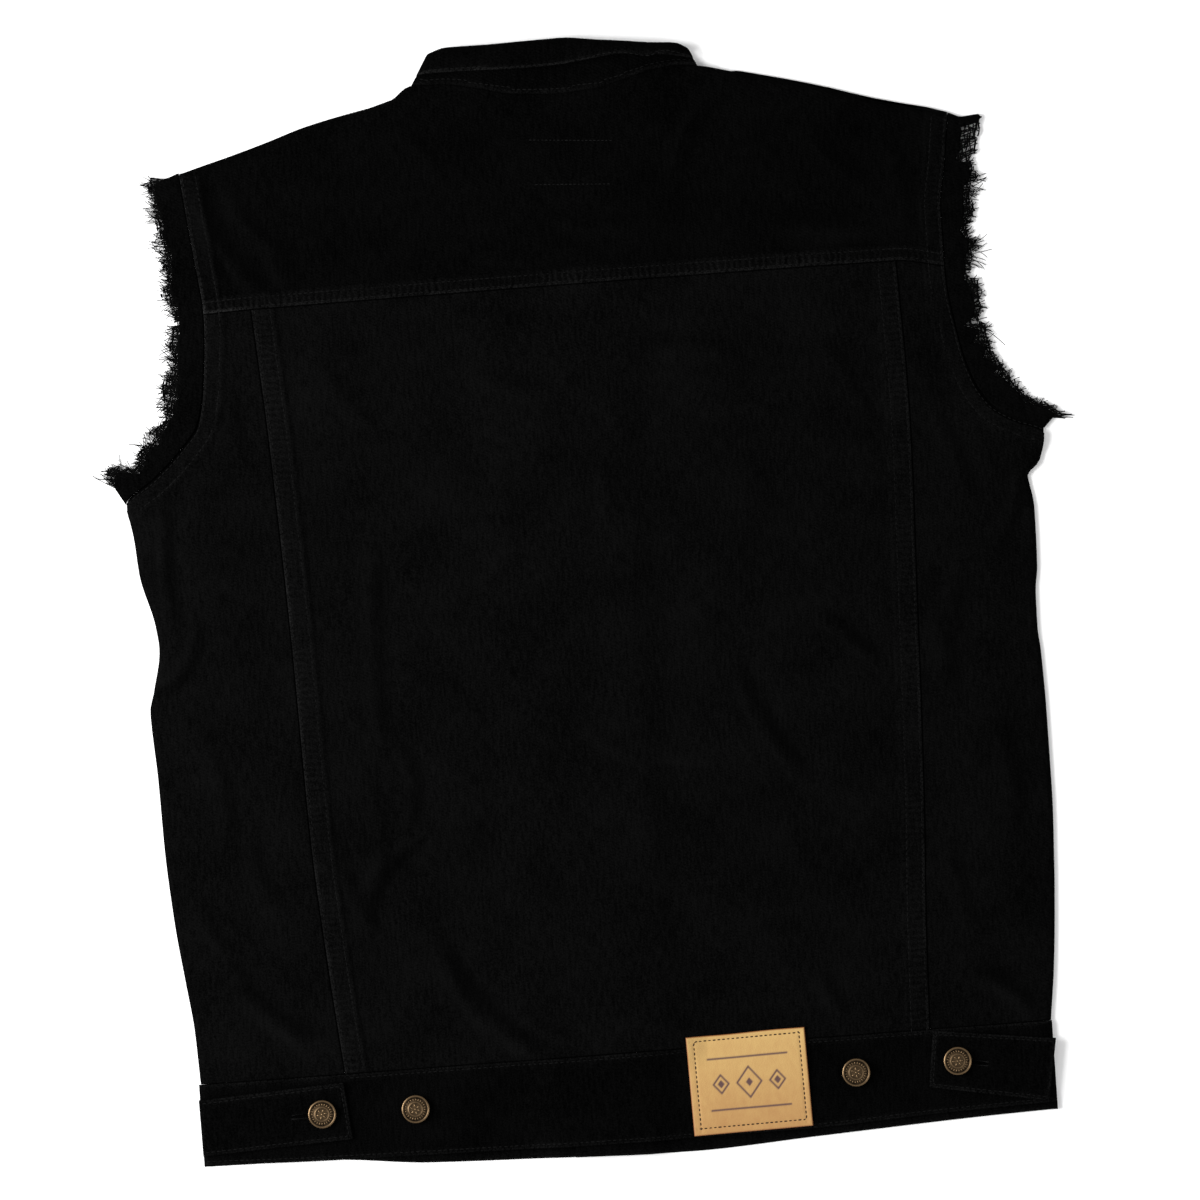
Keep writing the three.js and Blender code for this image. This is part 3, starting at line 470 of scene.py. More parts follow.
def spaced(length, cell=CELL, fine_start=0, fine_end=0):
    """Shares from 0 to 1 along a length, closer together at its ends and over the fine stretches"""
    start = [*RIM, *np.arange(RIM[-1] + FINE_CELL, fine_start, FINE_CELL)]
    end = [*RIM, *np.arange(RIM[-1] + FINE_CELL, fine_end, FINE_CELL)]
    parts = max(2, math.ceil((length - start[-1] - end[-1]) / cell))
    middle = np.linspace(start[-1], length - end[-1], parts + 1)[1:-1]
    return np.concatenate([start, middle, length - np.array(end[::-1])]) / length


def panel(left, right, low, high, fine):
    """Plan of a panel: x and y in rows from its low to its high line, half a gap inside each line.
    fine is how far the points stay close together inside its left, right, low and high line"""
    edge = GAP / 2
    lowest, highest = on(low, 0) + edge, on(high, 0) - edge
    up = spaced(highest - lowest, CELL, fine[2], fine[3])[:, None]
    height = mix(lowest, highest, up)
    start, end = on(left, height) + edge, on(right, height) - edge
    x = mix(start, end, spaced(np.mean(end - start), CELL, fine[0], fine[1]))
    return x, mix(on(low, x) + edge, on(high, x) - edge, up)


def from_rim(plan):
    """Distance of each point of a grid from the grid's outline"""
    def from_ends(axis):
        steps = np.linalg.norm(np.diff(plan, axis=axis), axis=2)
        run = np.insert(np.cumsum(steps, axis=axis), 0, 0, axis=axis)
        return np.minimum(run, np.take(run, [-1], axis=axis) - run)
    return np.minimum(from_ends(0), from_ends(1))


def rounded(plan, thick):
    """Share of a wall's thickness: none on its outline, all of it from half a thickness inside"""
    share = np.clip(from_rim(plan) / (thick / 2), 0, 1)
    return np.sqrt(1 - (1 - share) ** 2)


def seam_marks(x, y, seams=()):
    """Painted crease shading, worn lines and the ladder of puckers, for seams of a distance, run, width and
    strength
    """
    line_wear, rope, along = np.zeros(x.shape), np.zeros(x.shape), np.zeros(x.shape)
    for distance, run, width, strength in seams:
        band = ramp(distance, -0.6, 0.8) * (1 - ramp(distance, width - 1.5, width + 1.5))
        band = band * (1 - 0.5 * ramp(distance, 1, width))
        folded = np.exp(-(((distance - 0.8) / 0.8) ** 2))
        row = 0.25 * furrow(distance, width - ROW_FAR)
        along = np.where(band * strength > rope, run, along)
        rope = np.maximum(rope, band * strength)
        line_wear = np.maximum(line_wear, np.maximum(folded, row))
    return {"wear": line_wear, "rope": rope, "along": along, "fold": painted_crease_shading(x, y)}


def solid_piece(name, points, faces, marks, material):
    """A smooth closed piece in one material, with marks that have a value for each point"""
    mesh = bpy.data.meshes.new(name)
    mesh.from_pydata(place(points).tolist(), [], faces)
    mesh.shade_smooth()
    for key, values in marks.items():
        mesh.attributes.new(key, "FLOAT", "POINT").data.foreach_set("value", values.astype(np.float32))
    mesh.materials.append(material)
    return add_object(name, mesh)


def wall(name, middle, half, marks, material):
    """A wall about a grid of middle points, half its thickness to each side, closed along its outline"""
    rows, columns = middle.shape[:2]
    top = np.arange(rows * columns).reshape(rows, columns)
    bottom = top.copy()
    inner = (rows - 2) * (columns - 2)
    bottom[1:-1, 1:-1] = rows * columns + np.arange(inner).reshape(rows - 2, columns - 2)
    points = [(middle + half).reshape(-1, 3), (middle - half)[1:-1, 1:-1].reshape(-1, 3)]

    def quads(grid):
        corners = (grid[:-1, :-1], grid[:-1, 1:], grid[1:, 1:], grid[1:, :-1])
        return np.stack([corner.ravel() for corner in corners], 1)

    faces = np.concatenate([quads(top), quads(bottom)[:, ::-1]])
    marks = {key: np.append(values, values[1:-1, 1:-1]) for key, values in marks.items()}
    piece = solid_piece(name, np.concatenate(points), faces.tolist(), marks, material)
    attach(piece, "root")
    return piece


def laid(name, x, y, under, thick, marks, material, joined=0, join_height=JOIN_HEIGHT):
    """A wall that lies flat. joined is the share by which it closes on the edge of the other layer"""
    thick = np.broadcast_to(thick, x.shape)
    full = rounded(np.dstack([x, y]), thick)
    middle = mix(under + thick / 2, join_height, joined)
    half = thick / 2 * full * (1 - joined)
    level = np.zeros(x.shape)
    return wall(name, np.dstack([x, y, middle]), np.dstack([level, level, half]), marks, material)


def closing(distance):
    """Share by which a layer closes on the other one at a distance from their common edge"""
    return (1 - np.clip(distance / JOIN_WIDTH, 0, 1)) ** 2


def plan_size(x, y):
    """Width, length and area of a plan in metres"""
    a = np.dstack([x, y])
    across, up = a[1:, 1:] - a[:-1, :-1], a[1:, :-1] - a[:-1, 1:]
    area = np.abs(across[..., 0] * up[..., 1] - across[..., 1] * up[..., 0]).sum() / 2
    return (np.ptp(x) * 0.001, np.ptp(y) * 0.001), area * 1e-6


def declare(x, y, flat=None):
    """Works out the size and area of a piece's plan, or takes the given flat size; nothing is kept of them"""
    measured, area = plan_size(x, y)
    flat = flat or measured
    area = min(area, flat[0] * flat[1])


# Materials

NOISE, RANGE, BLEND = "ShaderNodeTexNoise", "ShaderNodeMapRange", "ShaderNodeMix"
MATHS, BUMP, ATTRIBUTE = "ShaderNodeMath", "ShaderNodeBump", "ShaderNodeAttribute"
PUCKER_SPACING = 3.9


def srgb(code):
    """Linear colour from an sRGB hex value"""
    parts = [(code >> shift & 255) / 255 for shift in (16, 8, 0)]
    return (*[part / 12.92 if part <= 0.04045 else ((part + 0.055) / 1.055) ** 2.4 for part in parts], 1)


def add_node(tree, kind, inputs=None, **settings):
    """One node with its settings, and its inputs as values or as the sockets that feed them"""
    made = tree.nodes.new(kind)
    for name, setting in settings.items():
        setattr(made, name, setting)
    for name, value in (inputs or {}).items():
        if isinstance(value, bpy.types.NodeSocket):
            tree.links.new(value, made.inputs[name])
        else:
            made.inputs[name].default_value = value
    return made


def new_material(name, **finish):
    """A material, its tree and its shader, with the values that are the same all over"""
    material = bpy.data.materials.new(name)
    material.use_nodes = True
    shader = material.node_tree.nodes["Principled BSDF"]
    for key, value in finish.items():
        shader.inputs[key.replace("_", " ")].default_value = value
    return material, material.node_tree, shader


def denim(name, dye):
    """Overdyed black denim, a heavy cotton twill: matt, faintly mottled, greyed on its seams; painted shade
    in creases, painted highlight and wear on their ridges
    """
    material, tree, shader = new_material(name, Roughness=0.95, Specular_IOR_Level=0.004)
    place_in = add_node(tree, "ShaderNodeTexCoord").outputs["Object"]
    # Warp yarns are 0.6 mm apart in the real cloth, too fine to show, so the slubs are 1.6 by 9 mm
    stretched = add_node(tree, "ShaderNodeMapping", {"Vector": place_in, "Scale": (620, 110, 1)}).outputs[0]
    # Clouds of dye are about 40 mm wide and flecks 1 mm; the puckers shift every 8 mm and fade over 40,
    # and worn lines break off over 25
    slub, cloudy, fleck, shifting, lasting, broken = (
        add_node(tree, NOISE, {"Vector": vector, "Scale": scale, "Detail": detail}).outputs[0]
        for vector, scale, detail in (
            (stretched, 1.0, 2.0), (place_in, 26.0, 4.0), (place_in, 1100.0, 1.0), (place_in, 120.0, 1.0),
            (place_in, 24.0, 1.0), (place_in, 40.0, 2.0),
        )
    )
    # Twill lines lean; 0.9 mm apart in the real cloth, 1.8 mm here
    lean = (0, 0, math.radians(-62))
    turned = add_node(tree, "ShaderNodeMapping", {"Vector": place_in, "Rotation": lean}).outputs[0]
    twill = add_node(tree, "ShaderNodeTexWave", {
        "Vector": turned, "Scale": 175.0, "Distortion": 1.2, "Detail": 1.0, "Detail Scale": 2.0,
    }).outputs["Fac"]
    fold, rope, along, wear = (
        add_node(tree, ATTRIBUTE, attribute_name=key).outputs["Fac"]
        for key in ("fold", "rope", "along", "wear")
    )
    grain = add_node(tree, MATHS, {0: slub, 1: 0.7, 2: fleck}, operation="MULTIPLY_ADD").outputs[0]
    mottled = add_node(tree, MATHS, {0: cloudy, 1: 0.55, 2: grain}, operation="MULTIPLY_ADD").outputs[0]
    tone = add_node(tree, RANGE, {"Value": mottled, "From Min": 0.85, "From Max": 1.4}).outputs[0]
    # Painted shade darkens the creases; painted highlight and rubbed wear make the ridges beside them paler
    painted_crease_shade = add_node(tree, RANGE, {"Value": fold, "From Max": -1.0, "To Max": 0.5}).outputs[0]
    painted_ridge_highlight_and_wear = add_node(tree, RANGE, {"Value": fold, "To Max": 0.16}).outputs[0]
    # Puckers of the felled seams, stronger in some stretches than in others
    turns = add_node(tree, MATHS, {0: along, 1: math.tau / PUCKER_SPACING}, operation="MULTIPLY").outputs[0]
    phase = add_node(tree, MATHS, {0: shifting, 1: 7.0, 2: turns}, operation="MULTIPLY_ADD").outputs[0]
    wave = add_node(tree, MATHS, {0: phase}, operation="SINE").outputs[0]
    pucker = add_node(tree, MATHS, {0: wave, 1: rope}, operation="MULTIPLY").outputs[0]
    crest = add_node(tree, RANGE, {"Value": wave, "From Min": -1.0, "To Max": 0.9}).outputs[0]
    patchy = add_node(tree, RANGE, {"Value": fleck, "From Min": 0.3, "From Max": 0.75}).outputs[0]
    stretch, rubbed, worn_stretch = (
        add_node(tree, RANGE, {"Value": value, "From Min": low, "From Max": high, "To Min": least}).outputs[0]
        for value, low, high, least in (
            (lasting, 0.35, 0.7, 0.25), (patchy, 0.0, 1.0, 0.15), (broken, 0.3, 0.7, 0.2),
        )
    )
    rungs, worn_lines = rope, wear
    for share in (crest, stretch, rubbed):
        rungs = add_node(tree, MATHS, {0: rungs, 1: share}, operation="MULTIPLY").outputs[0]
    for share in (patchy, worn_stretch):
        worn_lines = add_node(tree, MATHS, {0: worn_lines, 1: share}, operation="MULTIPLY").outputs[0]
    greyed = add_node(tree, MATHS, {0: rungs, 1: worn_lines}, operation="MAXIMUM").outputs[0]
    cloth = srgb(dye[0])
    for share, shade in ((tone, dye[1]), (painted_crease_shade, 0x010101), (painted_ridge_highlight_and_wear, 0x181818), (greyed, 0x1B1B1B)):
        layer = {"Factor": share, "A": cloth, "B": srgb(shade)}
        cloth = add_node(tree, BLEND, layer, data_type="RGBA").outputs["Result"]
    tree.links.new(cloth, shader.inputs["Base Color"])
    weave = twill
    for relief in (slub, fleck):
        weave = add_node(tree, MATHS, {0: weave, 1: relief}, operation="ADD").outputs[0]
    weave = add_node(tree, BUMP, {"Height": weave, "Strength": 0.6, "Distance": 0.00025}).outputs[0]
    puckered = {"Height": pucker, "Strength": 1.0, "Distance": 0.0003, "Normal": weave}
    tree.links.new(add_node(tree, BUMP, puckered).outputs[0], shader.inputs["Normal"])
    return material


def thread(name, colours, gloss):
    """Spun thread: a matt twist of fibres with a faint gloss along it"""
    material, tree, shader = new_material(name, Roughness=0.75, Specular_IOR_Level=gloss)
    place_in = add_node(tree, "ShaderNodeTexCoord").outputs["Object"]
    dye = add_node(tree, NOISE, {"Vector": place_in, "Scale": 300.0}).outputs[0]
    shades = {"Factor": dye, "A": srgb(colours[0]), "B": srgb(colours[1])}
    shade = add_node(tree, BLEND, shades, data_type="RGBA").outputs["Result"]
    tree.links.new(shade, shader.inputs["Base Color"])
    return material


def leather():
    """Vegetable-tanned cowhide, printed dark brown: satin, finely grained, darker at its cut edge"""
    material, tree, shader = new_material("tanned_cowhide", Roughness=0.55, Specular_IOR_Level=0.35)
    place_in = add_node(tree, "ShaderNodeTexCoord").outputs["Object"]
    streaks = add_node(tree, "ShaderNodeMapping", {"Vector": place_in, "Scale": (330, 170, 1)}).outputs[0]
    fibre = add_node(tree, NOISE, {"Vector": streaks, "Scale": 1.0, "Detail": 3.0}).outputs[0]
    stain = add_node(tree, NOISE, {"Vector": place_in, "Scale": 45.0, "Detail": 4.0}).outputs[0]
    mottled = add_node(tree, MATHS, {0: fibre, 1: stain}, operation="ADD").outputs[0]
    # The patch is yellower towards its top edge
    low, high = (float(place((0, PATCH[end], 0))[1]) for end in ("low", "high"))
    height = add_node(tree, "ShaderNodeSeparateXYZ", {"Vector": place_in}).outputs["Y"]
    aged = add_node(tree, RANGE, {"Value": height, "From Min": low, "From Max": high}).outputs[0]
    tone = add_node(tree, MATHS, {0: aged, 1: 1.4, 2: mottled}, operation="MULTIPLY_ADD").outputs[0]
    spread = add_node(tree, RANGE, {"Value": tone, "From Min": 0.7, "From Max": 2.7}).outputs[0]
    edge, ink = (add_node(tree, ATTRIBUTE, attribute_name=key).outputs["Fac"] for key in ("edge", "ink"))
    hide = srgb(0x966D3F)
    for share, shade in ((spread, 0xB09057), (edge, 0x7A4A25), (ink, 0x41292E)):
        layer = {"Factor": share, "A": hide, "B": srgb(shade)}
        hide = add_node(tree, BLEND, layer, data_type="RGBA").outputs["Result"]
    tree.links.new(hide, shader.inputs["Base Color"])
    # Grain of 0.5 mm in the real hide, 1 mm here
    grain = add_node(tree, "ShaderNodeTexVoronoi", {"Vector": place_in, "Scale": 1000.0}).outputs["Distance"]
    grained = add_node(tree, BUMP, {"Height": grain, "Strength": 0.25, "Distance": 0.0002}).outputs[0]
    tree.links.new(grained, shader.inputs["Normal"])
    return material


def antique_brass():
    """Stamped brass with a brown patina: bright where it is rubbed, dark in its hollows"""
    material, tree, shader = new_material("antique_brass", Metallic=1.0, Roughness=0.38)
    place_in = add_node(tree, "ShaderNodeTexCoord").outputs["Object"]
    stain = add_node(tree, NOISE, {"Vector": place_in, "Scale": 600.0, "Detail": 3.0}).outputs[0]
    raised = add_node(tree, ATTRIBUTE, attribute_name="raised").outputs["Fac"]
    rubbed = add_node(tree, MATHS, {0: stain, 1: 0.5, 2: raised}, operation="MULTIPLY_ADD").outputs[0]
    share = add_node(tree, RANGE, {"Value": rubbed, "From Min": 0.3, "From Max": 1.35}).outputs[0]
    metals = {"Factor": share, "A": srgb(0x120E0A), "B": srgb(0x6F5B43)}
    metal = add_node(tree, BLEND, metals, data_type="RGBA").outputs["Result"]
    tree.links.new(metal, shader.inputs["Base Color"])
    dull = add_node(tree, RANGE, {"Value": share, "To Min": 0.6, "To Max": 0.32}).outputs[0]
    tree.links.new(dull, shader.inputs["Roughness"])
    return material


DENIM = denim("overdyed_black_denim", (0x020202, 0x090909))
# A darker copy of the same denim, for the yoke, waistbands, tabs, collar, its leaves and the sleeve stubs
DENIM_DARK = denim("overdyed_black_denim_darker", (0x010101, 0x060606))
TOPSTITCH = thread("black_polyester_topstitching", (0x080808, 0x131313), 0.03)
HOLE_THREAD = thread("worn_black_polyester_thread", (0x0C0C0C, 0x181818), 0.03)
FADED_THREAD = thread("grey_polyester_thread", (0x0F0F0F, 0x191919), 0.03)
FRAYED = thread("black_cotton_frayed_yarn", (0x020202, 0x090909), 0.03)
BROWN_THREAD = thread("dark_brown_linen_thread", (0x22160D, 0x342214), 0.15)
HIDE = leather()
BRASS = antique_brass()


# Geometry Nodes for what repeats: stitches, loose yarns and the beads of the buttons

BEAD_RUBBED = 0.85  # how bright the beads are rubbed


def geometry_tree(name, inputs):
    """A tree with named inputs, and the sockets that give them"""
    tree = bpy.data.node_groups.new(name, "GeometryNodeTree")
    tree.interface.new_socket("Geometry", in_out="INPUT", socket_type="NodeSocketGeometry")
    for label, kind in inputs:
        tree.interface.new_socket(label, in_out="INPUT", socket_type=kind)
    tree.interface.new_socket("Geometry", in_out="OUTPUT", socket_type="NodeSocketGeometry")
    return tree, add_node(tree, "NodeGroupInput").outputs


def finish_tree(tree, geometry, material):
    """Ends a tree with real geometry, shaded smooth, in its material"""
    for kind, inputs in (
        ("GeometryNodeRealizeInstances", {}), ("GeometryNodeSetShadeSmooth", {}),
        ("GeometryNodeSetMaterial", {"Material": material}),
    ):
        geometry = add_node(tree, kind, {"Geometry": geometry, **inputs}).outputs[0]
    add_node(tree, "NodeGroupOutput", {"Geometry": geometry})


def stitch_tree():
    """A stitch at every pitch along the lines, lengthwise or turned across them"""
    sizes = [(label, "NodeSocketFloat") for label in ("Pitch", "Length", "Width", "Height", "Turn")]
    tree, given = geometry_tree("stitch_rows", [*sizes, ("Material", "NodeSocketMaterial")])
    curve = add_node(tree, "GeometryNodeMeshToCurve", {"Mesh": given["Geometry"]}).outputs[0]
    every = {"Curve": curve, "Length": given["Pitch"]}
    spots = add_node(tree, "GeometryNodeResampleCurve", every, mode="LENGTH").outputs[0]
    ball = add_node(tree, "GeometryNodeMeshIcoSphere", {"Radius": 0.5, "Subdivisions": 2}).outputs["Mesh"]
    size = {"X": given["Length"], "Y": given["Width"], "Z": given["Height"]}
    size = add_node(tree, "ShaderNodeCombineXYZ", size).outputs[0]
    turn = add_node(tree, "ShaderNodeCombineXYZ", {"Z": given["Turn"]}).outputs[0]
    shaped = {"Geometry": ball, "Scale": size, "Rotation": turn}
    stitch = add_node(tree, "GeometryNodeTransform", shaped).outputs[0]
    tangent = add_node(tree, "GeometryNodeInputTangent").outputs[0]
    facing = add_node(tree, "FunctionNodeAlignRotationToVector", {"Vector": tangent}, axis="X").outputs[0]
    lengths = {2: 0.86, 3: 1.08, "Seed": 7}
    longer = add_node(tree, "FunctionNodeRandomValue", lengths, data_type="FLOAT").outputs[1]
    rows = add_node(tree, "GeometryNodeInstanceOnPoints", {
        "Points": spots, "Instance": stitch, "Rotation": facing, "Scale": longer,
    }).outputs[0]
    finish_tree(tree, rows, given["Material"])
    return tree


def yarn_tree():
    """A yarn along every line, three-sided, as it is too thin to show its sides"""
    inputs = [("Radius", "NodeSocketFloat"), ("Material", "NodeSocketMaterial")]
    tree, given = geometry_tree("loose_yarns", inputs)
    curve = add_node(tree, "GeometryNodeMeshToCurve", {"Mesh": given["Geometry"]}).outputs[0]
    ring = {"Resolution": 3, "Radius": given["Radius"]}
    ring = add_node(tree, "GeometryNodeCurvePrimitiveCircle", ring).outputs[0]
    yarn = {"Curve": curve, "Profile Curve": ring, "Fill Caps": True}
    tube = add_node(tree, "GeometryNodeCurveToMesh", yarn).outputs[0]
    finish_tree(tree, tube, given["Material"])
    return tree


def bead_tree():
    """A ring of long beads round a centre, beside what is there already"""
    tree, given = geometry_tree("bead_ring", [
        ("Count", "NodeSocketInt"), ("Ring radius", "NodeSocketFloat"), ("Bead", "NodeSocketVector"),
        ("Centre", "NodeSocketVector"), ("Turn", "NodeSocketFloat"), ("Material", "NodeSocketMaterial"),
    ])
    ring = {"Vertices": given["Count"], "Radius": given["Ring radius"]}
    ring = add_node(tree, "GeometryNodeMeshCircle", ring).outputs[0]
    ball = add_node(tree, "GeometryNodeMeshIcoSphere", {"Radius": 0.5, "Subdivisions": 2}).outputs["Mesh"]
    bead = add_node(tree, "GeometryNodeTransform", {"Geometry": ball, "Scale": given["Bead"]}).outputs[0]
    outward = add_node(tree, "GeometryNodeInputPosition").outputs[0]
    facing = add_node(tree, "FunctionNodeAlignRotationToVector", {"Vector": outward}, axis="X").outputs[0]
    beads = {"Points": ring, "Instance": bead, "Rotation": facing}
    beads = add_node(tree, "GeometryNodeInstanceOnPoints", beads).outputs[0]
    beads = add_node(tree, "GeometryNodeRealizeInstances", {"Geometry": beads}).outputs[0]
    worn = add_node(
        tree, "GeometryNodeStoreNamedAttribute", {"Geometry": beads, "Name": "raised", "Value": BEAD_RUBBED},
        data_type="FLOAT", domain="POINT",
    ).outputs[0]
    turn = add_node(tree, "ShaderNodeCombineXYZ", {"Z": given["Turn"]}).outputs[0]
    placed = {"Geometry": worn, "Translation": given["Centre"], "Rotation": turn}
    placed = add_node(tree, "GeometryNodeTransform", placed).outputs[0]
    joined = add_node(tree, "GeometryNodeJoinGeometry", {"Geometry": placed})
    tree.links.new(given["Geometry"], joined.inputs[0])
    finish_tree(tree, joined.outputs[0], given["Material"])
    return tree


STITCHES = stitch_tree()
YARNS = yarn_tree()
BEADS = bead_tree()


def baked(piece, tree, values):
    """The piece as the plain mesh that a tree makes of it, its inputs set by name"""
    step = piece.modifiers.new(tree.name, "NODES")
    step.node_group = tree
    for item in tree.interface.items_tree:
        if item.in_out == "INPUT" and item.name in values:
            step[item.identifier] = values[item.name]
    made = piece.evaluated_get(bpy.context.evaluated_depsgraph_get())
    mesh = bpy.data.meshes.new_from_object(made)
    piece.modifiers.remove(step)
    piece.data = mesh
    return piece


def lines_piece(name, paths):
    """A piece of bare lines, for a tree to work on"""
    ends = np.cumsum([len(path) for path in paths])
    starts = np.insert(ends[:-1], 0, 0)
    edges = [(at, at + 1) for start, end in zip(starts, ends) for at in range(start, end - 1)]
    mesh = bpy.data.meshes.new(name)
    mesh.from_pydata(place(np.concatenate(paths)).tolist(), edges, [])
    return add_object(name, mesh)


def stitched(name, paths, sizes, material, turn=0):
    """Rows of stitches along paths, in one piece"""
    piece = lines_piece(name, paths)
    values = {key: size * 0.001 for key, size in sizes.items()}
    baked(piece, STITCHES, {**values, "Turn": turn, "Material": material})
    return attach(piece, "root")


def row_on(top, x, y, sunk=0.08):
    """A path along x and y on a surface given by its height"""
    x, y = np.broadcast_arrays(np.asarray(x, float), np.asarray(y, float))
    return np.stack([x, y, top(x, y) - sunk], 1)


def back_row(thick, x, y, sunk=0.08):
    """A path along x and y on top of the back's cloth, whose thickness a function gives"""
    return row_on(lambda a, b: back_under(a, b) + thick(a, b), x, y, sunk)


def corner_row(corners):
    """Points along straight runs between corners"""
    runs = []
    for a, b in zip(corners[:-1], corners[1:]):
        count = max(2, math.ceil(math.dist(a, b) / ROW_STEP))
        share = np.linspace(0, 1, count, endpoint=False)[:, None]
        runs.append(mix(np.array(a), np.array(b), share))
    return np.concatenate([*runs, [corners[-1]]])


# Back below the yoke

def centre_thick(x, y):
    """Thickness of the back's centre panel, raised where both its long seams are felled"""
    inward = np.minimum(x - on(SEAMS["left"], y), on(SEAMS["right"], y) - x)
    return CLOTH + felled(inward, BACK_FELL)


def side_thick(side, x, y):
    """Thickness of a side panel, raised along the armhole above the underarm"""
    return CLOTH + felled(from_armhole(side, x, y), ARM_FELL) * ramp(y, UNDERARM - 16, UNDERARM + 2)


def side_closing(side, x, y):
    """Share by which back and front close on each other along a side seam, up to the underarm"""
    return closing(abs(x - on(EDGES[side], y))) * (1 - ramp(y, UNDERARM - 8, UNDERARM))


def build_back():
    puckers = {"left": 0.3, "right": 0.36}
    x, y = panel(SEAMS["left"], SEAMS["right"], BAND_HIGH, YOKE_LOW, fine=(18, 18, 4, 4))
    marks = seam_marks(x, y, [
        ((x - on(SEAMS[side], y)) * inward, y, BACK_FELL, puckers[side]) for side, inward in INWARD.items()
    ])
    centre = laid("back_centre_panel", x, y, back_under(x, y), centre_thick(x, y), marks, DENIM)
    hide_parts("back_centre")
    height = np.arange(55, 511.5, ROW_STEP)
    rows = [
        back_row(centre_thick, on(SEAMS[side], height) + inward * row, height)
        for side, inward in INWARD.items() for row in (ROW_NEAR, BACK_FELL - ROW_FAR)
    ]
    rows = stitched("stitches_back_seams", rows, STITCH, TOPSTITCH)
    declare(x, y)
    for side, (first, last), fine in (
        ("left", (EDGES["left"], SEAMS["left"]), (16, 3, 4, 4)),
        ("right", (SEAMS["right"], EDGES["right"]), (3, 16, 4, 4)),
    ):
        x, y = panel(first, last, BAND_HIGH, YOKE_LOW, fine=fine)
        distance = np.where(y > UNDERARM - 14, from_armhole(side, x, y), 99)
        marks = seam_marks(x, y, [(distance, y, ARM_FELL, 0.15)])
        joined = side_closing(side, x, y)
        thick = side_thick(side, x, y)
        piece = laid(f"back_side_panel_{side}", x, y, back_under(x, y), thick, marks, DENIM, joined=joined)
        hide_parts(f"back_side_{side}")
        declare(x, y)


# Yoke

YOKE_WIDTH = 455
YOKE_DEPTH = 95


def yoke_thick(x, y):
    """Thickness of the yoke, raised along its seam and both armholes"""
    arm = np.minimum(from_armhole("left", x, y), from_armhole("right", x, y))
    return CLOTH + np.maximum(felled(y - on(YOKE_LOW, x), YOKE_FELL), felled(arm, ARM_FELL))


def yoke_plan():
    """Columns spread evenly along the yoke's seam and fanned out to its top edge, in rows between the two"""
    edge = GAP / 2
    across = spaced(YOKE_WIDTH, CELL, 16, 16)
    steps = across * (len(YOKE) - 1)
    seam_x = between_rows([x for x, _, _ in YOKE], steps)
    low_x = mix(seam_x[0], seam_x[-1], across)
    high_x = between_rows([x for _, x, _ in YOKE], np.interp(low_x, seam_x, steps))
    up = spaced(YOKE_DEPTH, CELL, 14, 3)[:, None]
    y = mix(on(YOKE_LOW, low_x) + edge, on(YOKE_TOP, high_x) - edge, up)
    x = mix(low_x, high_x, up)
    start, end = on(EDGES["left"], y[:, :1]) + edge, on(EDGES["right"], y[:, -1:]) - edge
    return mix(start, end, (x - x[:, :1]) / (x[:, -1:] - x[:, :1])), y


def shoulder_closing(x, y):
    """Share by which back and front close on each other along the shoulders, outside the neck"""
    left, right = NECK_POINTS
    outside = ramp(-x, 4 - left, 12 - left) + ramp(x, right + 4, right + 12)
    return closing(on(YOKE_TOP, x) - y) * outside


LABEL_ROWS = [((-19, 603), (29, 599.5)), ((-17, 576), (26, 573.5))]  # where a label is sewn on inside


def build_yoke():
    x, y = yoke_plan()
    above = y - on(YOKE_LOW, x)
    marks = seam_marks(x, y, [
        (above, x, YOKE_FELL, 0.55), *((from_armhole(side, x, y), y, ARM_FELL, 0.15) for side in INWARD),
    ])
    # The yoke's fold is rubbed palest at its left end
    marks["wear"] = marks["wear"] * (1 + 1.4 * ramp(-x, 188, 204) * (1 - ramp(above, 4, 6)))
    piece = laid("back_yoke_panel", x, y, back_under(x, y), yoke_thick(x, y), marks, DENIM_DARK,
                 joined=shoulder_closing(x, y))
    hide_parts("back_yoke")
    run = np.arange(-219, 221, ROW_STEP)
    rows = [back_row(yoke_thick, run, on(YOKE_LOW, run) + row) for row in (ROW_NEAR, YOKE_FELL - ROW_FAR)]
    rows = stitched("stitches_yoke", rows, STITCH, TOPSTITCH)
    tacked = [back_row(yoke_thick, *corner_row(ends).T, 0.15) for ends in LABEL_ROWS]
    tacked = stitched("stitches_label", tacked, {**STITCH, "Pitch": 2.4}, FADED_THREAD)
    declare(x, y)


def build_armhole_rows():
    """Two rows round each armhole, on the side panel and the yoke"""
    rows = []
    for side, inward in INWARD.items():
        seam = ARMHOLE_SEAMS[side]
        run = unit(np.gradient(seam, axis=0))
        normal = np.stack([run[:, 1], -run[:, 0]], 1) * inward
        for distance in (ROW_NEAR, ARM_FELL - ROW_FAR):
            path = (seam + normal * distance)[4:-4]
            over_seam = path[:, 1] - on(YOKE_LOW, path[:, 0])
            below, above = path[over_seam < -0.6], path[over_seam > 0.6]
            below = below[abs(below[:, 0]) < abs(on(EDGES[side], below[:, 1])) - 1]
            rows.append(back_row(lambda a, b: side_thick(side, a, b), *below.T))
            rows.append(back_row(yoke_thick, *above.T))
    stitched("stitches_armholes", rows, STITCH, TOPSTITCH)


# Fronts, hidden below and finished plainly

FRONT_HIGH = 635.5  # the fronts' highest point, beside the neck
FRONT_LENGTH = 583
FRONT_WIDTH = 220


def front_under(side, x, y):
    """Underside of a front. The right one lies on the left one where they overlap"""
    over = (CLOTH + GAP) * over_left_front(x) * (1 - ramp(y, 565, 585)) if side == "right" else 0
    return propped(x, y, 0) + over


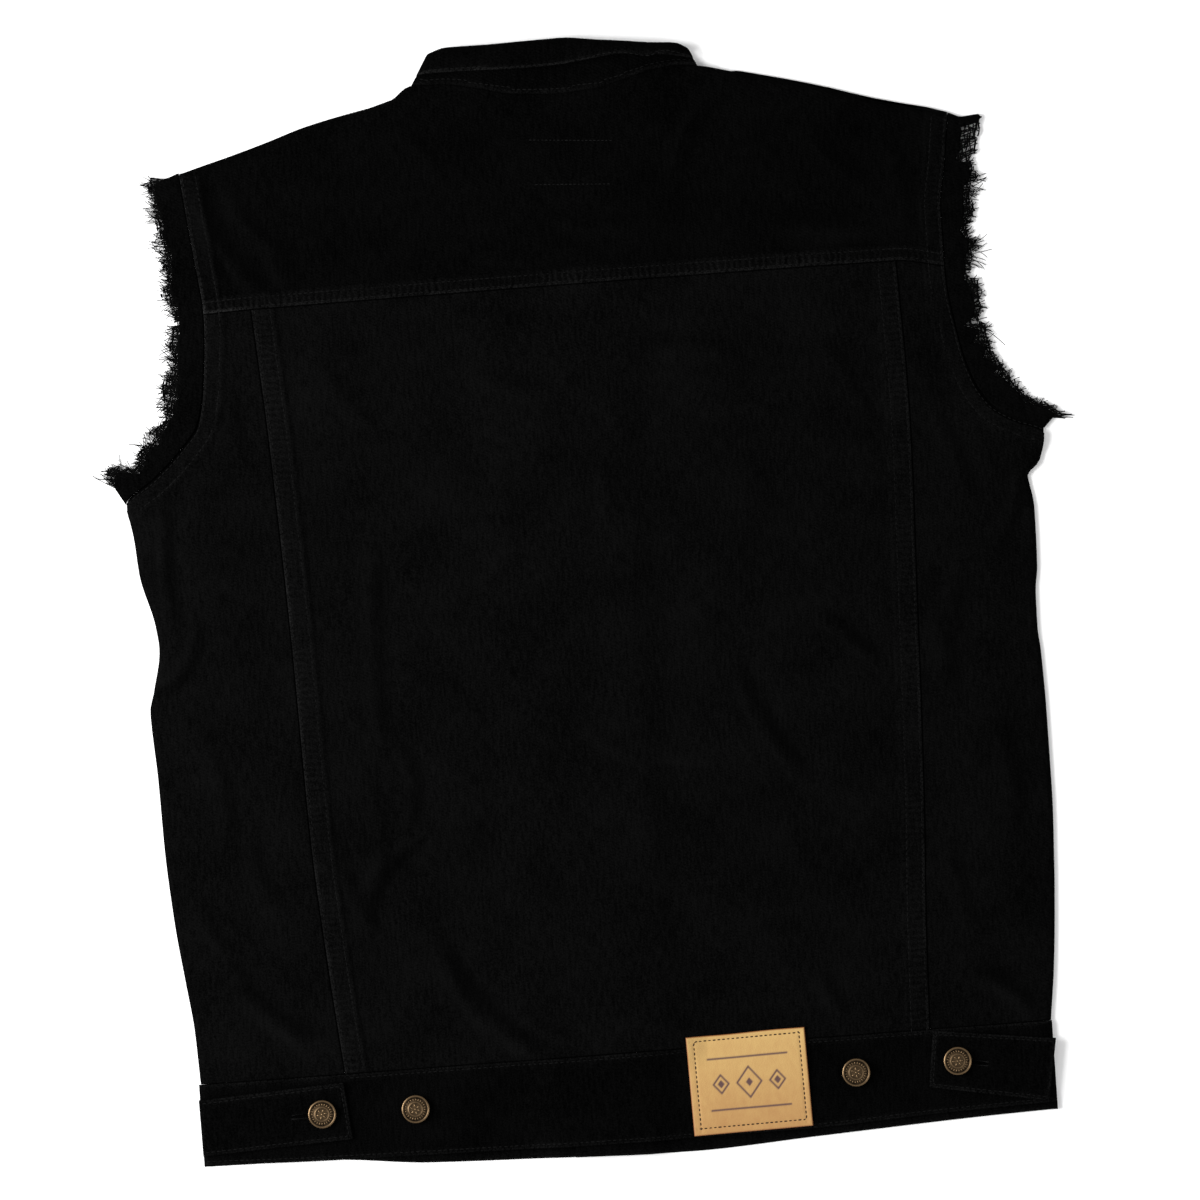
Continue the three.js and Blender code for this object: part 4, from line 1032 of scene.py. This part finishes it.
def build_fronts():
    ends = (("left", LEFT_FRONT_END, LEFT_FRONT_TOP), ("right", RIGHT_FRONT_END, RIGHT_FRONT_TOP))
    for side, end, top in ends:
        outward = -INWARD[side]
        shoulder = sorted((y, x) for _, x, y in YOKE if x * outward >= NECK_POINTS[1])
        corner = PLACKET_X + NECK_OPENING * outward
        inner = line([(FRONT_LOW, end), (top, end), (top + 1.5, corner), *FRONT_NECK[side]], 0.25)
        height = mix(FRONT_LOW, FRONT_HIGH, spaced(FRONT_LENGTH, HIDDEN_CELL, 3, 3))[:, None]
        along_shoulder = np.interp(height, *np.array(shoulder).T)
        outer = np.where(height > shoulder[0][0], along_shoulder, on(EDGES[side], height))
        first, last = (outer, on(inner, height)) if side == "left" else (on(inner, height), outer)
        x = mix(first, last, spaced(FRONT_WIDTH, HIDDEN_CELL, 3, 3))
        low = on(BAND_HIGH, x) + GAP / 2
        y = np.maximum(height, low + (height - FRONT_LOW))
        joined = np.maximum(side_closing(side, x, y), shoulder_closing(x, y))
        piece = laid(f"front_{side}_panel", x, y, front_under(side, x, y), CLOTH, seam_marks(x, y), DENIM,
                     joined=joined)
        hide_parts(f"front_{side}")
        declare(x, y)


# Waistbands

BAND_DEPTH = 52


def band(node, hem, start, end, under, rests_on):
    """A waistband from start to end, over the surface that under gives"""
    up = spaced(BAND_DEPTH, CELL, 5, 5)[:, None]
    across = mix(start, end, spaced(end - start, CELL))
    x = np.broadcast_to(across, (len(up), len(across)))
    y = mix(on(HEMS[hem], x), on(BAND_HIGH, x) - 0.02, up)
    from_sides = np.minimum(x - BAND_ENDS[0], BAND_ENDS[1] - x)
    from_top, from_hem = on(BAND_HIGH, x) - y, y - on(HEMS[hem], x)
    thick = DOUBLE - BAND_FURROW_DEPTH * sum(furrow(distance, BAND_ROW) for distance in (from_top, from_hem))
    marks = seam_marks(x, y, [(from_top, x, 5, 0.12), (from_hem, x, 5, 0.15)])
    marks["wear"] = marks["wear"] * 0.5
    piece = laid(f"{node}_band", x, y, under(x), thick, marks, DENIM_DARK, joined=closing(from_sides),
                 join_height=BAND_JOIN_HEIGHT)
    declare(x, y)
    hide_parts(node)


def build_bands():
    left, right = BAND_ENDS
    band("waistband_back", "back", left, right, band_under,
         ["waistband_front_left_band", "waistband_front_right_band"])
    band("waistband_front_left", "front", left, LEFT_FRONT_END, lambda x: propped(x, 0, 0), ["floor"])
    band("waistband_front_right", "front", RIGHT_FRONT_END, right,
         lambda x: propped(x, 0, 0) + (DOUBLE + GAP) * over_left_front(x), ["floor"])
    rows = []
    for edge, inward, spans in (  # the rows stop at the tabs and the patch
        (BAND_HIGH, -BAND_ROW, ((-164, 37), (111, 180))),
        (HEMS["back"], BAND_ROW, ((-253, 37), (111, 254))),
    ):
        for span in spans:
            run = np.arange(*span, ROW_STEP)
            rows.append(row_on(lambda a, b: band_top(a) - BAND_FURROW_DEPTH, run, on(edge, run) + inward))
    stitched("stitches_waistband", rows, STITCH, TOPSTITCH)


# Tabs, their buttonholes, the patch and the buttons

HOLE_LENGTH = 20
HOLE_SHIFT = 9  # from the middle of the button to that of its hole
HOLE_DEPTH = 1.2
TAB_LENGTH = 90
TAB_WIDTH = 34
TAB_MIDDLE = 31  # height of the tabs' middle line over the hem
TAB_FREE = (230, 172)  # where a tab begins to lift off the band, and where it has lifted
TAB_LIFT = 0.5
BAR_AT = 12  # from the side seam to the row across a tab


def tab_under(x, y):
    """Underside of a tab, whose free end lifts a little off the band at its corners"""
    free = ramp(abs(x), *TAB_FREE)
    return band_top(x) + GAP + TAB_LIFT * free**2 * ramp(abs(y - TAB_MIDDLE), 0, TAB_WIDTH / 2)


def build_tabs():
    rows, holes = [], []
    for side, table in TABS.items():
        low_side, high_side, low_end, high_end = corners = np.array(table, float)
        along, up_end = unit(low_end - low_side), unit(high_end - low_end)
        if side == "right":
            corners = corners[[2, 3, 0, 1]]
        across = spaced(TAB_LENGTH, 1.1, 4, 4)[:, None]
        up = spaced(TAB_WIDTH, 0.8, 4, 4)[:, None, None]
        grid = mix(mix(corners[0], corners[2], across), mix(corners[1], corners[3], across), up)
        x, y = grid[..., 0], grid[..., 1]
        inward = from_rim(grid)
        marks = seam_marks(x, y, [(inward, x + y, 4.5, 0.2)])
        marks["wear"] = marks["wear"] * 0.6
        hole = np.array(BUTTONS[f"button_tab_{side}"][:2]) - along * HOLE_SHIFT
        ahead = (x - hole[0]) * along[0] + (y - hole[1]) * along[1]
        aside = (x - hole[0]) * along[1] - (y - hole[1]) * along[0]
        slit = 1 - ramp(abs(ahead), HOLE_LENGTH / 2 - 1, HOLE_LENGTH / 2)
        slit = slit * (1 - ramp(abs(aside), 0.4, 1.3))
        # Painted shade darkens the buttonhole's slit, as dark as the deepest crease
        marks["fold"] = np.minimum(marks["fold"], -2 * slit)
        thick = DOUBLE - BAND_FURROW_DEPTH * furrow(inward, TAB_ROW) - HOLE_DEPTH * slit
        piece = laid(f"tab_{side}_strap", x, y, tab_under(x, y), thick, marks, DENIM_DARK)
        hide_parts(f"tab_{side}")
        declare(x, y)

        top = lambda a, b: tab_under(a, b) + DOUBLE - 0.2
        outline = corner_row([
            high_side + along * 3 - up_end * TAB_ROW, high_end - (along + up_end) * TAB_ROW,
            low_end - (along - up_end) * TAB_ROW, low_side + along * 3 + up_end * TAB_ROW,
        ])
        bar = corner_row([low_side + along * BAR_AT + up_end * 3, high_side + along * BAR_AT - up_end * 3])
        rows += [row_on(top, *outline.T), row_on(top, *bar.T)]
        turns = np.linspace(0, math.tau, 90)
        ends = np.clip(np.cos(turns) * 1.15, -1, 1) * (HOLE_LENGTH / 2 + 1)
        ring = hole + np.outer(ends, along) + np.outer(np.sin(turns) * 1.9, (-along[1], along[0]))
        holes.append(row_on(top, *ring.T, 0.12))
    stitched("stitches_tabs", rows, STITCH, TOPSTITCH)
    stitched("buttonholes", holes, SATIN, HOLE_THREAD, math.pi / 2)


PATCH_MIDDLE = (PATCH["left"] + PATCH["right"]) / 2, (PATCH["low"] + PATCH["high"]) / 2
PATCH_TURN = math.radians(1.3)
PATCH_CELL = 0.55
PATCH_ROWS = {"left": 4.4, "right": -3.6, "low": 4.2, "high": -3.0}  # from the edges to the stitches
GROOVE = 0.22


def patch_under(x, y):
    """The waistband below, and the back's panel over its upper edge"""
    panel_top = np.maximum(back_under(x - 8, y), back_under(x, y)) + CLOTH + GAP / 2
    on_panel = ramp(y, on(BAND_HIGH, x) - 15, on(BAND_HIGH, x))
    return mix(band_top(x), np.maximum(band_top(x), panel_top), on_panel)


def patch_print(x, y):
    """A row of three lozenges between two rules, printed in the middle of the patch"""
    cx, cy = PATCH_MIDDLE
    ink = np.zeros(x.shape)
    for offset, half_width, half_height in ((-17, 5, 6), (0, 8, 10), (17, 5, 6)):
        distance = abs(x - cx - offset) / half_width + abs(y - cy) / half_height
        outline = np.exp(-(((distance - 0.92) * half_width / 0.75) ** 4))
        heart = 1 - ramp(distance * half_width, 1.8, 2.5)
        ink = np.maximum(ink, np.maximum(outline, heart))
    inside = 1 - ramp(abs(x - cx), 24, 24.6)
    for height in (-15.5, 15.5):
        ink = np.maximum(ink, inside * np.exp(-(((y - cy - height) / 0.6) ** 4)))
    return ink


def turned_patch(x, y):
    """A plan of the patch turned about its middle"""
    cx, cy = PATCH_MIDDLE[0], PATCH_MIDDLE[1] + 0.6
    cos, sin = math.cos(PATCH_TURN), math.sin(PATCH_TURN)
    return cx + (x - cx) * cos - (y - cy) * sin, cy + (x - cx) * sin + (y - cy) * cos


def build_patch():
    across = spaced(PATCH["right"] - PATCH["left"], PATCH_CELL)
    up = spaced(PATCH["high"] - PATCH["low"], PATCH_CELL)[:, None]
    x, y = np.broadcast_arrays(
        mix(PATCH["left"], PATCH["right"], across), mix(PATCH["low"], PATCH["high"], up),
    )
    inward = from_rim(np.dstack([x, y]))
    ink = patch_print(x, y)
    row_at = {end: PATCH[end] + inset for end, inset in PATCH_ROWS.items()}
    from_row = np.min([
        abs(x - row_at["left"]), abs(x - row_at["right"]), abs(y - row_at["low"]), abs(y - row_at["high"]),
    ], axis=0)
    groove = np.exp(-((from_row / 0.8) ** 2)) * (inward > 2)
    marks = {"ink": 0.95 * ink, "edge": 1 - ramp(inward, 0.1, 0.9)}
    thick = LEATHER - GROOVE * groove - 0.1 * ink
    # The edges are a little uneven
    wave = 0.25 * np.sin(x / 9.0 + 1) * np.sin(y / 11.0)
    x, y = turned_patch(x, y + wave * (1 - ramp(inward, 0, 20)))
    piece = laid("leather_patch", x, y, patch_under(x, y) + GAP, thick, marks, HIDE)
    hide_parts("patch")
    ends = (("left", "low"), ("right", "low"), ("right", "high"), ("left", "high"), ("left", "low"))
    path = corner_row([(row_at[side], row_at[end]) for side, end in ends])
    rows = [row_on(lambda a, b: patch_under(a, b) + GAP + LEATHER - GROOVE, *turned_patch(*path.T))]
    rows = stitched("stitches_patch", rows, LEATHER_STITCH, BROWN_THREAD)
    declare(x, y)


BUTTON_PROFILE = [  # radius, height, how much it is rubbed bright
    (0, 0, 0), (3.8, 0, 0), (3.6, 1.1, 0), (7.9, 1.45, 0.1), (8.35, 1.8, 0.5), (8.5, 2.4, 0.9),
    (8.45, 2.8, 1.0), (8.2, 3.15, 1.0), (7.8, 3.3, 1.0), (7.45, 3.22, 0.7), (7.2, 3.02, 0.15),
    (6.8, 2.98, 0.1), (5.6, 3.12, 0.25), (4.6, 3.3, 0.35), (4.3, 3.5, 0.8), (4.0, 3.52, 0.8),
    (3.7, 3.36, 0.3), (2.4, 3.5, 0.4), (1.2, 3.58, 0.5), (0, 3.6, 0.5),
]
BUTTON_SIDES = 48
BEAD_RINGS = [  # count, radius of the ring, size of a bead, height: the ribs, the rosette and its middle
    (24, 5.75, (1.7, 0.75, 0.8), 3.1), (6, 2.2, (2.4, 1.2, 0.9), 3.5), (3, 0.01, (1.5, 1.5, 0.9), 3.6),
]


def build_buttons():
    profile = np.array(BUTTON_PROFILE, float)
    turns = np.linspace(0, math.tau, BUTTON_SIDES, endpoint=False)
    circle = np.stack([np.cos(turns), np.sin(turns), 0 * turns], 1)
    for name, (x, y, seat, turn) in BUTTONS.items():
        height = float(band_top(x)) + GAP + (DOUBLE + GAP if seat == "tab" else 0)
        rings = [(x, y, height + up) + radius * circle for radius, up, _ in profile[1:-1]]
        points = np.concatenate([[(x, y, height)], *rings, [(x, y, height + profile[-1, 1])]])
        first = 1 + np.arange(len(rings))[:, None] * BUTTON_SIDES + np.arange(BUTTON_SIDES)
        after = np.roll(first, -1, axis=1)
        faces = np.stack([first[:-1], after[:-1], after[1:], first[1:]], 2).reshape(-1, 4).tolist()
        last = len(points) - 1
        faces += [(0, b, a) for a, b in zip(first[0].tolist(), after[0].tolist())]
        faces += [(last, a, b) for a, b in zip(first[-1].tolist(), after[-1].tolist())]
        bright = np.repeat(profile[:, 2], [1, *[BUTTON_SIDES] * len(rings), 1])
        piece = solid_piece(f"{name}_head", points, faces, {"raised": bright}, BRASS)
        for count, radius, bead, up in BEAD_RINGS:
            baked(piece, BEADS, {
                "Count": count, "Ring radius": radius * 0.001, "Bead": [size * 0.001 for size in bead],
                "Centre": place((x, y, height + up)).tolist(), "Turn": math.radians(turn), "Material": BRASS,
            })
        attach(piece, "root")
        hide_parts(name)


# Collar: from the neck seam down to the floor, round its fold and back over itself

ROLL_STEPS = 6
COLLAR_SECTIONS = 96
COLLAR_POINTS = 44
COLLAR_DEPTH = 55
COLLAR_WIDTH = 175
LEAF_LENGTH = 110
LEAF_WIDTH = 60


def smooth_path(points, count):
    """Points evenly along a smooth curve through the given ones"""
    points = np.asarray(points, float)
    ahead = np.vstack([2 * points[0] - points[1], points, 2 * points[-1] - points[-2]])
    at = np.linspace(0, len(points) - 1, 12 * len(points))
    k = np.minimum(at.astype(int), len(points) - 2)
    t = (at - k)[:, None]
    a, b, c, d = ahead[k], ahead[k + 1], ahead[k + 2], ahead[k + 3]
    fine = 0.5 * (2 * b + (c - a) * t + (2 * a - 5 * b + 4 * c - d) * t**2 + (3 * b - a - 3 * c + d) * t**3)
    run = run_along(fine)
    return read_at(spaced(COLLAR_DEPTH, COLLAR_DEPTH / count) * run[-1], run, fine)


def collar_section(neck, fold, edge, rise, lift):
    """Middle line of a section, as distance from the neck seam and height, and the way it runs in plan"""
    radius = (rise - DOUBLE) / 2
    lean = np.subtract(fold, neck)
    reach = np.hypot(*lean)
    centre = reach - radius - DOUBLE / 2
    seam_height = float(back_under(np.array(neck[0]), np.array(neck[1]))) + CLOTH / 2
    edge_share = float(np.dot(np.subtract(edge, neck), lean) / reach)
    low = DOUBLE / 2 + 0.2
    path = [(-5, seam_height - 2.5), (-0.8, seam_height - 1.9), (1.6, seam_height - 0.5),
            (0.45 * centre, mix(seam_height, low, 0.65))]
    for step in range(ROLL_STEPS + 1):
        angle = -math.pi / 2 + math.pi * step / ROLL_STEPS
        path.append((centre + radius * math.cos(angle), low + radius * (1 + math.sin(angle))))
    below = mix(seam_height, low, min(1, edge_share / centre * 1.3)) if edge_share < centre else low
    edge_height = max(below + DOUBLE + GAP, low + radius * 1.1) + lift
    last = path[-1]
    path += [(mix(last[0], edge_share, 0.5), mix(last[1], edge_height, 0.35)), (edge_share, edge_height)]
    return smooth_path(path, COLLAR_POINTS), lean / reach


def build_collar():
    across = spaced(COLLAR_WIDTH, COLLAR_WIDTH / COLLAR_SECTIONS) * (len(COLLAR) - 1)
    sections = [between_rows([row[part] for row in COLLAR], across) for part in range(5)]
    middle, normal = [], []
    for neck_x, fold, edge, rise, lift in zip(*sections):
        neck = (neck_x, float(on(YOKE_TOP, neck_x)))
        path, lean = collar_section(neck, fold, edge, rise, lift)
        slope = unit(np.gradient(path, axis=0))
        out, up = path.T[..., None]
        middle.append(np.hstack([neck + lean * out, up]))
        normal.append(np.hstack([-slope[:, 1:] * lean, slope[:, :1]]))
    middle, normal = np.stack(middle, 1), np.stack(normal, 1)
    run_up = np.cumsum(np.linalg.norm(np.diff(middle, axis=0, prepend=middle[:1]), axis=2), axis=0)
    from_edge, from_neck = run_up[-1:] - run_up, run_up - COLLAR_SEAM
    along = np.cumsum(np.linalg.norm(np.diff(middle, axis=1, prepend=middle[:, :1]), axis=2), axis=1)
    # Short upright puckers over the rows of the free edge
    puckers = np.sin(along / 1.45 + 1.8 * np.sin(along / 11)) * np.exp(-(((from_edge - 9) / 5) ** 2))
    middle[..., 2] += 0.22 * puckers
    drawn = furrow(from_edge, COLLAR_EDGE_ROW) + furrow(from_neck, COLLAR_NECK_ROW)
    half = normal * ((DOUBLE / 2 - 0.1 * drawn) * rounded(middle, DOUBLE))[..., None]
    seams = [(from_edge, along, 4.3, 0.25), (from_neck, along, 4, 0.1)]
    marks = seam_marks(middle[..., 0], middle[..., 1], seams)
    marks["wear"] = np.where(from_edge < 12, 1.3, 0.35) * marks["wear"]
    piece = wall("collar_rolled", middle, half, marks, DENIM_DARK)
    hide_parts("collar")
    rows = []
    for sheet, distance, row in (
        (middle - half, from_edge, COLLAR_EDGE_ROW), (middle + half, from_neck, COLLAR_NECK_ROW),
    ):
        nearest = np.argmin(abs(distance - row), axis=0)
        rows.append(sheet[nearest, np.arange(len(across))][6:-6])
    rows = stitched("stitches_collar", rows, STITCH, TOPSTITCH)


def build_leaves():
    for side, table in LEAVES.items():
        table = np.array(table, float)
        at = spaced(LEAF_LENGTH, HIDDEN_CELL) * (len(table) - 1)
        neck, free = (between_rows(table[:, part], at)[:, None] for part in (0, 1))
        first, last = (free, neck) if side == "left" else (neck, free)
        grid = mix(first, last, spaced(LEAF_WIDTH, HIDDEN_CELL)[None, :, None])
        x, y = grid[..., 0], grid[..., 1]
        piece = laid(f"collar_leaf_{side}_flap", x, y, 0.0, LEAF, seam_marks(x, y), DENIM_DARK)
        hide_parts(f"collar_leaf_{side}")
        declare(x, y)


# What is left of the sleeves, and their frayed edges

NET_RADIUS = 0.4
THREAD_RADIUS = 0.27
FREE_YARN_HEIGHT = 0.45  # above the floor, towards which a yarn sinks
LOWEST_YARN = NET_RADIUS + 0.05
STUB_WIDTH = 16
EDGE_POINTS = 150  # round an armhole, for what is left of the sleeve, and for its fringe
FRINGE_POINTS = 600
LAYERS = {
    "back": {"under": CLOTH + GAP, "seed": 3, "spacing": (1.0, 1.9), "short": 0.0},
    "front": {"under": 0, "seed": 11, "spacing": (1.8, 3.8), "short": 1.4},
}
TUFTS = {  # how far up the cut edge, and how far past it the cloth is close, a net, and single threads
    "left": [
        (0, 1, 4, 10), (3, 4.5, 8, 11), (8, 8, 11, 13.5), (12, 3.5, 8, 13.5), (15, -2, 1, 3),
        (20, -1, 1, 2.5), (25, 1.5, 4, 6), (29, 2.5, 5, 9), (33, 2, 4, 12), (37, 0.5, 2.5, 10),
        (42, 4, 7.5, 8.5), (50, 2.5, 4, 4.5), (54, 2.5, 4.5, 7.5), (60, 4.5, 7, 11), (66, 4.5, 10.5, 13),
        (72, 6, 12, 14), (76, 5, 11, 12.5), (80, 4, 8, 10.5), (84, 4, 4.5, 7.5), (93, 4, 5.5, 13),
        (97, 5, 7.5, 12), (105, 3.5, 5, 9), (109, 3.5, 5, 10), (113, 3.5, 4, 4.5), (119, 2.8, 4.2, 9),
        (123, 4, 6.5, 10), (128, 7, 10.5, 11), (133, 7, 8, 10.5), (141, 4, 5, 8), (146, 4.5, 8.5, 10.5),
        (154, 3, 4.5, 10.5), (159, 4, 5, 12), (165, 5, 5.5, 7.5), (172, 5, 7.5, 12), (180, 7, 8.5, 12.5),
        (183, 7.5, 8, 9), (189, 9, 9.5, 12), (194, 8, 10.5, 13.5), (199, 5, 8.5, 13),
    ],
    "right": [
        (0, 3.5, 5.5, 10), (7, 6.5, 7.7, 10), (12, 5, 7.5, 8.5), (17, 2.7, 4, 7), (21, 2.5, 3.5, 5.5),
        (26, 4.5, 5.5, 6.5), (35, 5, 5.7, 8.7), (39, 7, 8.5, 9.5), (44, 3.2, 7.5, 9.3), (48, 7, 8, 8.5),
        (57, 2.5, 6.5, 7.5), (61, 6, 7, 7.5), (68, 0.5, 6.5, 9), (73, 5.5, 7, 9), (78, -1.5, 6, 12),
        (81, 2.5, 3.5, 5.5), (87, 6.5, 7.5, 10), (97, 5.7, 7.7, 10.2), (102, 6, 10, 11), (105, 2.5, 4.5, 10),
        (108, 4, 4.5, 5), (113, 4.7, 6, 7), (117, 4.7, 7, 15.5), (121, 8.5, 13, 16.5), (124, 8, 9, 15),
        (127, 7.7, 8.3, 9.5), (134, 4, 6.5, 7.3), (138, 7.5, 8.5, 10), (143, 7.3, 12, 12.8),
        (150, 7, 9, 11.5), (155, 7.8, 9, 16.5), (160, 8, 11, 16), (166, 10.8, 12, 14.5), (172, 8.5, 9, 10),
        (177, 3, 9.5, 10.5), (183, 5, 11, 11.5), (190, 5, 11.5, 12), (196, 5, 12, 12.3),
        (197.5, 14, 13, 13), (203, 13.5, 12.5, 13),
    ],
}
# How far past the cut line each yarn lies that runs along the edge
NET_LINES = (-2.4, -1.0, 0.4, 1.8, 3.3, 4.8, 6.4, 8.0, 9.7, 11.4)


def frayed(side, layer, run):
    """How far past the cut line the cloth is closed, and how far its net and its threads reach"""
    at, closed, net, threads = np.array(TUFTS[side], float).T
    torn = 0.5 * np.sin(run / 1.9) * np.sin(run / 7.1) + 0.4 * np.sin(run / 3.7)
    closed, net = np.interp(run, at, closed), np.interp(run, at, net)
    closed += torn - 2 - 0.4 * np.maximum(net - closed, 0) - LAYERS[layer]["short"]
    return closed, np.maximum(closed + 0.6, net), np.interp(run, at, threads)


def build_sleeve(side, layer):
    """What is left of a sleeve between its seam and the closed cloth at its frayed edge"""
    under = LAYERS[layer]["under"]
    lines = armhole(side, EDGE_POINTS)
    length = run_along(lines[1])[-1]
    up = spaced(length, 1.3)
    seam, raw, tip = (read_at(up * (EDGE_POINTS - 1), np.arange(EDGE_POINTS), part) for part in lines)
    inner = np.linalg.norm(raw - seam, axis=1)[:, None]
    outward = unit(tip - raw)
    run = up * length
    start = seam + (raw - seam) / inner * 0.05
    width = inner + frayed(side, layer, run)[0][:, None]
    share = spaced(STUB_WIDTH, 1.5)[None, :]
    distance = width * (1 - share if side == "left" else share)
    grid = np.where(
        (distance < inner)[..., None],
        mix(start[:, None], raw[:, None], (distance / inner)[..., None]),
        raw[:, None] + outward[:, None] * (distance - inner)[..., None],
    )
    x = grid[..., 0]
    # The strip draws a little towards the neck where the shoulder ends it
    y = grid[..., 1] + 0.9 * ramp(run, length - 5, length)[:, None] * (1 - ramp(distance, 0, 7))
    joined = closing(np.minimum(run, length - run)[:, None] + 0 * x)
    if layer == "back":
        from_seam = np.linalg.norm(grid - start[:, None], axis=2)
        under = under + 0.2 + 0.3 * np.sin(run / 4.2)[:, None] * ramp(from_seam, 2, 10)
    piece = laid(f"sleeve_{layer}_{side}_stub", x, y, under, CLOTH * 0.9, seam_marks(x, y), DENIM_DARK,
                 joined=joined)
    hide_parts(f"sleeve_{layer}_{side}")
    end = raw + outward * (width - inner)
    wide = float(np.max(np.linalg.norm(end - start, axis=1)))
    return piece, x, y, (length * 0.001, wide * 0.001)


def build_fringe(side, layer):
    """The net of yarns past the closed cloth and the loose threads that stray from it"""
    chance = np.random.default_rng(LAYERS[layer]["seed"] + (0 if side == "left" else 50))
    height = LAYERS[layer]["under"] + CLOTH / 2
    _, raw, tip = armhole(side, FRINGE_POINTS)
    run = run_along(raw)
    direction, outward = unit(np.gradient(raw, axis=0)), unit(tip - raw)
    closed, woven, reach = frayed(side, layer, run)

    def strand(root_at, first, last, angle, curl, points=8):
        """A yarn that leaves the cloth square to its edge, leans by an angle and curls towards its end"""
        root, ahead, aside = (read_at(root_at, run, part) for part in (raw, outward, direction))
        heading = ahead * math.cos(angle) + aside * math.sin(angle)
        bend = aside * math.cos(angle) - ahead * math.sin(angle)
        far = last - first
        share = np.linspace(0, 1, points)[:, None]
        plan = root + ahead * first + ahead * far * share * (1 - share) * 0.6
        plan = plan + heading * far * share * (0.4 + 0.6 * share) + bend * far * curl * share**2.2
        sway = 0.35 * np.sin(share * chance.uniform(3, 9) + chance.uniform(0, 6))
        z = height + sway * share - (height - FREE_YARN_HEIGHT) * 0.55 * share**2
        return np.hstack([plan, np.maximum(z, LOWEST_YARN)])

    net, loose = [], []
    spot = 0.4
    while spot < run[-1] - 0.2:
        first, last, end = (float(np.interp(spot, run, values)) for values in (closed, woven, reach))
        lean = 0.3 * math.sin(spot / 8.0 + LAYERS[layer]["seed"])
        root_at = float(np.clip(spot + chance.normal(0, 0.3), 0, run[-1]))
        net.append(strand(root_at, first - 1.4, last * chance.uniform(0.85, 1.08),
                          lean + chance.normal(0, 0.16), chance.normal(0, 0.14)))
        if end > last + 0.8:
            for _ in range(chance.choice([1, 1, 2, 2])):
                root_at = float(np.clip(spot + chance.normal(0, 0.8), 0, run[-1]))
                loose.append(strand(root_at, first - 1, end * chance.uniform(0.65, 1.22),
                                    lean + chance.normal(0, 0.16), chance.normal(0, 0.28), 10))
        spot += chance.uniform(*LAYERS[layer]["spacing"])
    for number, offset in enumerate(NET_LINES):
        drift = 0.4 * np.sin(run / chance.uniform(2.5, 5) + number) + 0.3 * np.sin(run / 1.5 + 2 * number)
        there = (woven > offset) & (closed < offset + 1) & (np.sin(run / 11.0 + 1.9 * number) > -0.8)
        z = height + 0.25 * np.sin(run / 0.9 + number * 3.1)
        z = z - (height - 0.4) * 0.3 * (max(offset, 0) / 10) ** 2
        yarn = np.column_stack([raw + outward * (offset + drift)[:, None], np.maximum(z, LOWEST_YARN)])
        for part in np.split(np.arange(len(run)), np.flatnonzero(np.diff(there.astype(int))) + 1):
            if there[part[0]] and len(part) > 6:
                net.append(yarn[part])
    pieces = []
    for name, paths, radius in (("frayed_edge", net, NET_RADIUS), ("loose_threads", loose, THREAD_RADIUS)):
        piece = lines_piece(f"{name}_{layer}_{side}", paths)
        baked(piece, YARNS, {"Radius": radius * 0.001, "Material": FRAYED})
        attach(piece, "root")
        pieces.append(piece)
    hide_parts(f"fringe_{layer}_{side}")
    return pieces


# Floor and light

FLOOR = 4.0  # metres from its middle to its edges
LAMPS = [  # name, place, width in metres, power
    ("key", (-1.6, 0.05, 1.2), 1.2, 76),
    ("fill", (2.4, -1.6, 3.2), 2.6, 32),
]


def build_studio():
    floor_mesh = bpy.data.meshes.new("floor")
    corners = [(-FLOOR, -FLOOR, 0), (FLOOR, -FLOOR, 0), (FLOOR, FLOOR, 0), (-FLOOR, FLOOR, 0)]
    floor_mesh.from_pydata(corners, [], [(0, 1, 2, 3)])
    paper, _, _ = new_material(
        "matt_white_paper", Base_Color=srgb(0xFCFCFC), Roughness=0.95, Specular_IOR_Level=0.1,
    )
    floor_mesh.materials.append(paper)
    floor = add_object("floor", floor_mesh)
    floor.location.z = -0.0004
    for name, spot, size, power in LAMPS:
        data = bpy.data.lights.new(name, "AREA")
        data.size = size
        data.energy = power
        lamp = add_object(name, data)
        lamp.location = spot
        lamp.rotation_euler = (-lamp.location).to_track_quat("-Z", "Y").to_euler()
    world = bpy.data.worlds.new("studio")
    world.use_nodes = True
    sky = world.node_tree.nodes["Background"].inputs
    sky["Color"].default_value = (1, 1, 1, 1)
    sky["Strength"].default_value = 0.6
    bpy.context.scene.world = world
    bpy.context.scene.view_settings.view_transform = "Standard"


build_studio()
build_fronts()
build_back()
build_yoke()
build_armhole_rows()
build_bands()
build_tabs()
build_patch()
build_buttons()
build_leaves()
build_collar()
for side in INWARD:
    for layer in ("front", "back"):
        fringe = build_fringe(side, layer)
        stub, stub_x, stub_y, strip = build_sleeve(side, layer)
        declare(stub_x, stub_y, flat=strip)
for number in range(1, 7):
    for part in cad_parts[f"front_button_{number}"].material_slots:
        part.material = BRASS
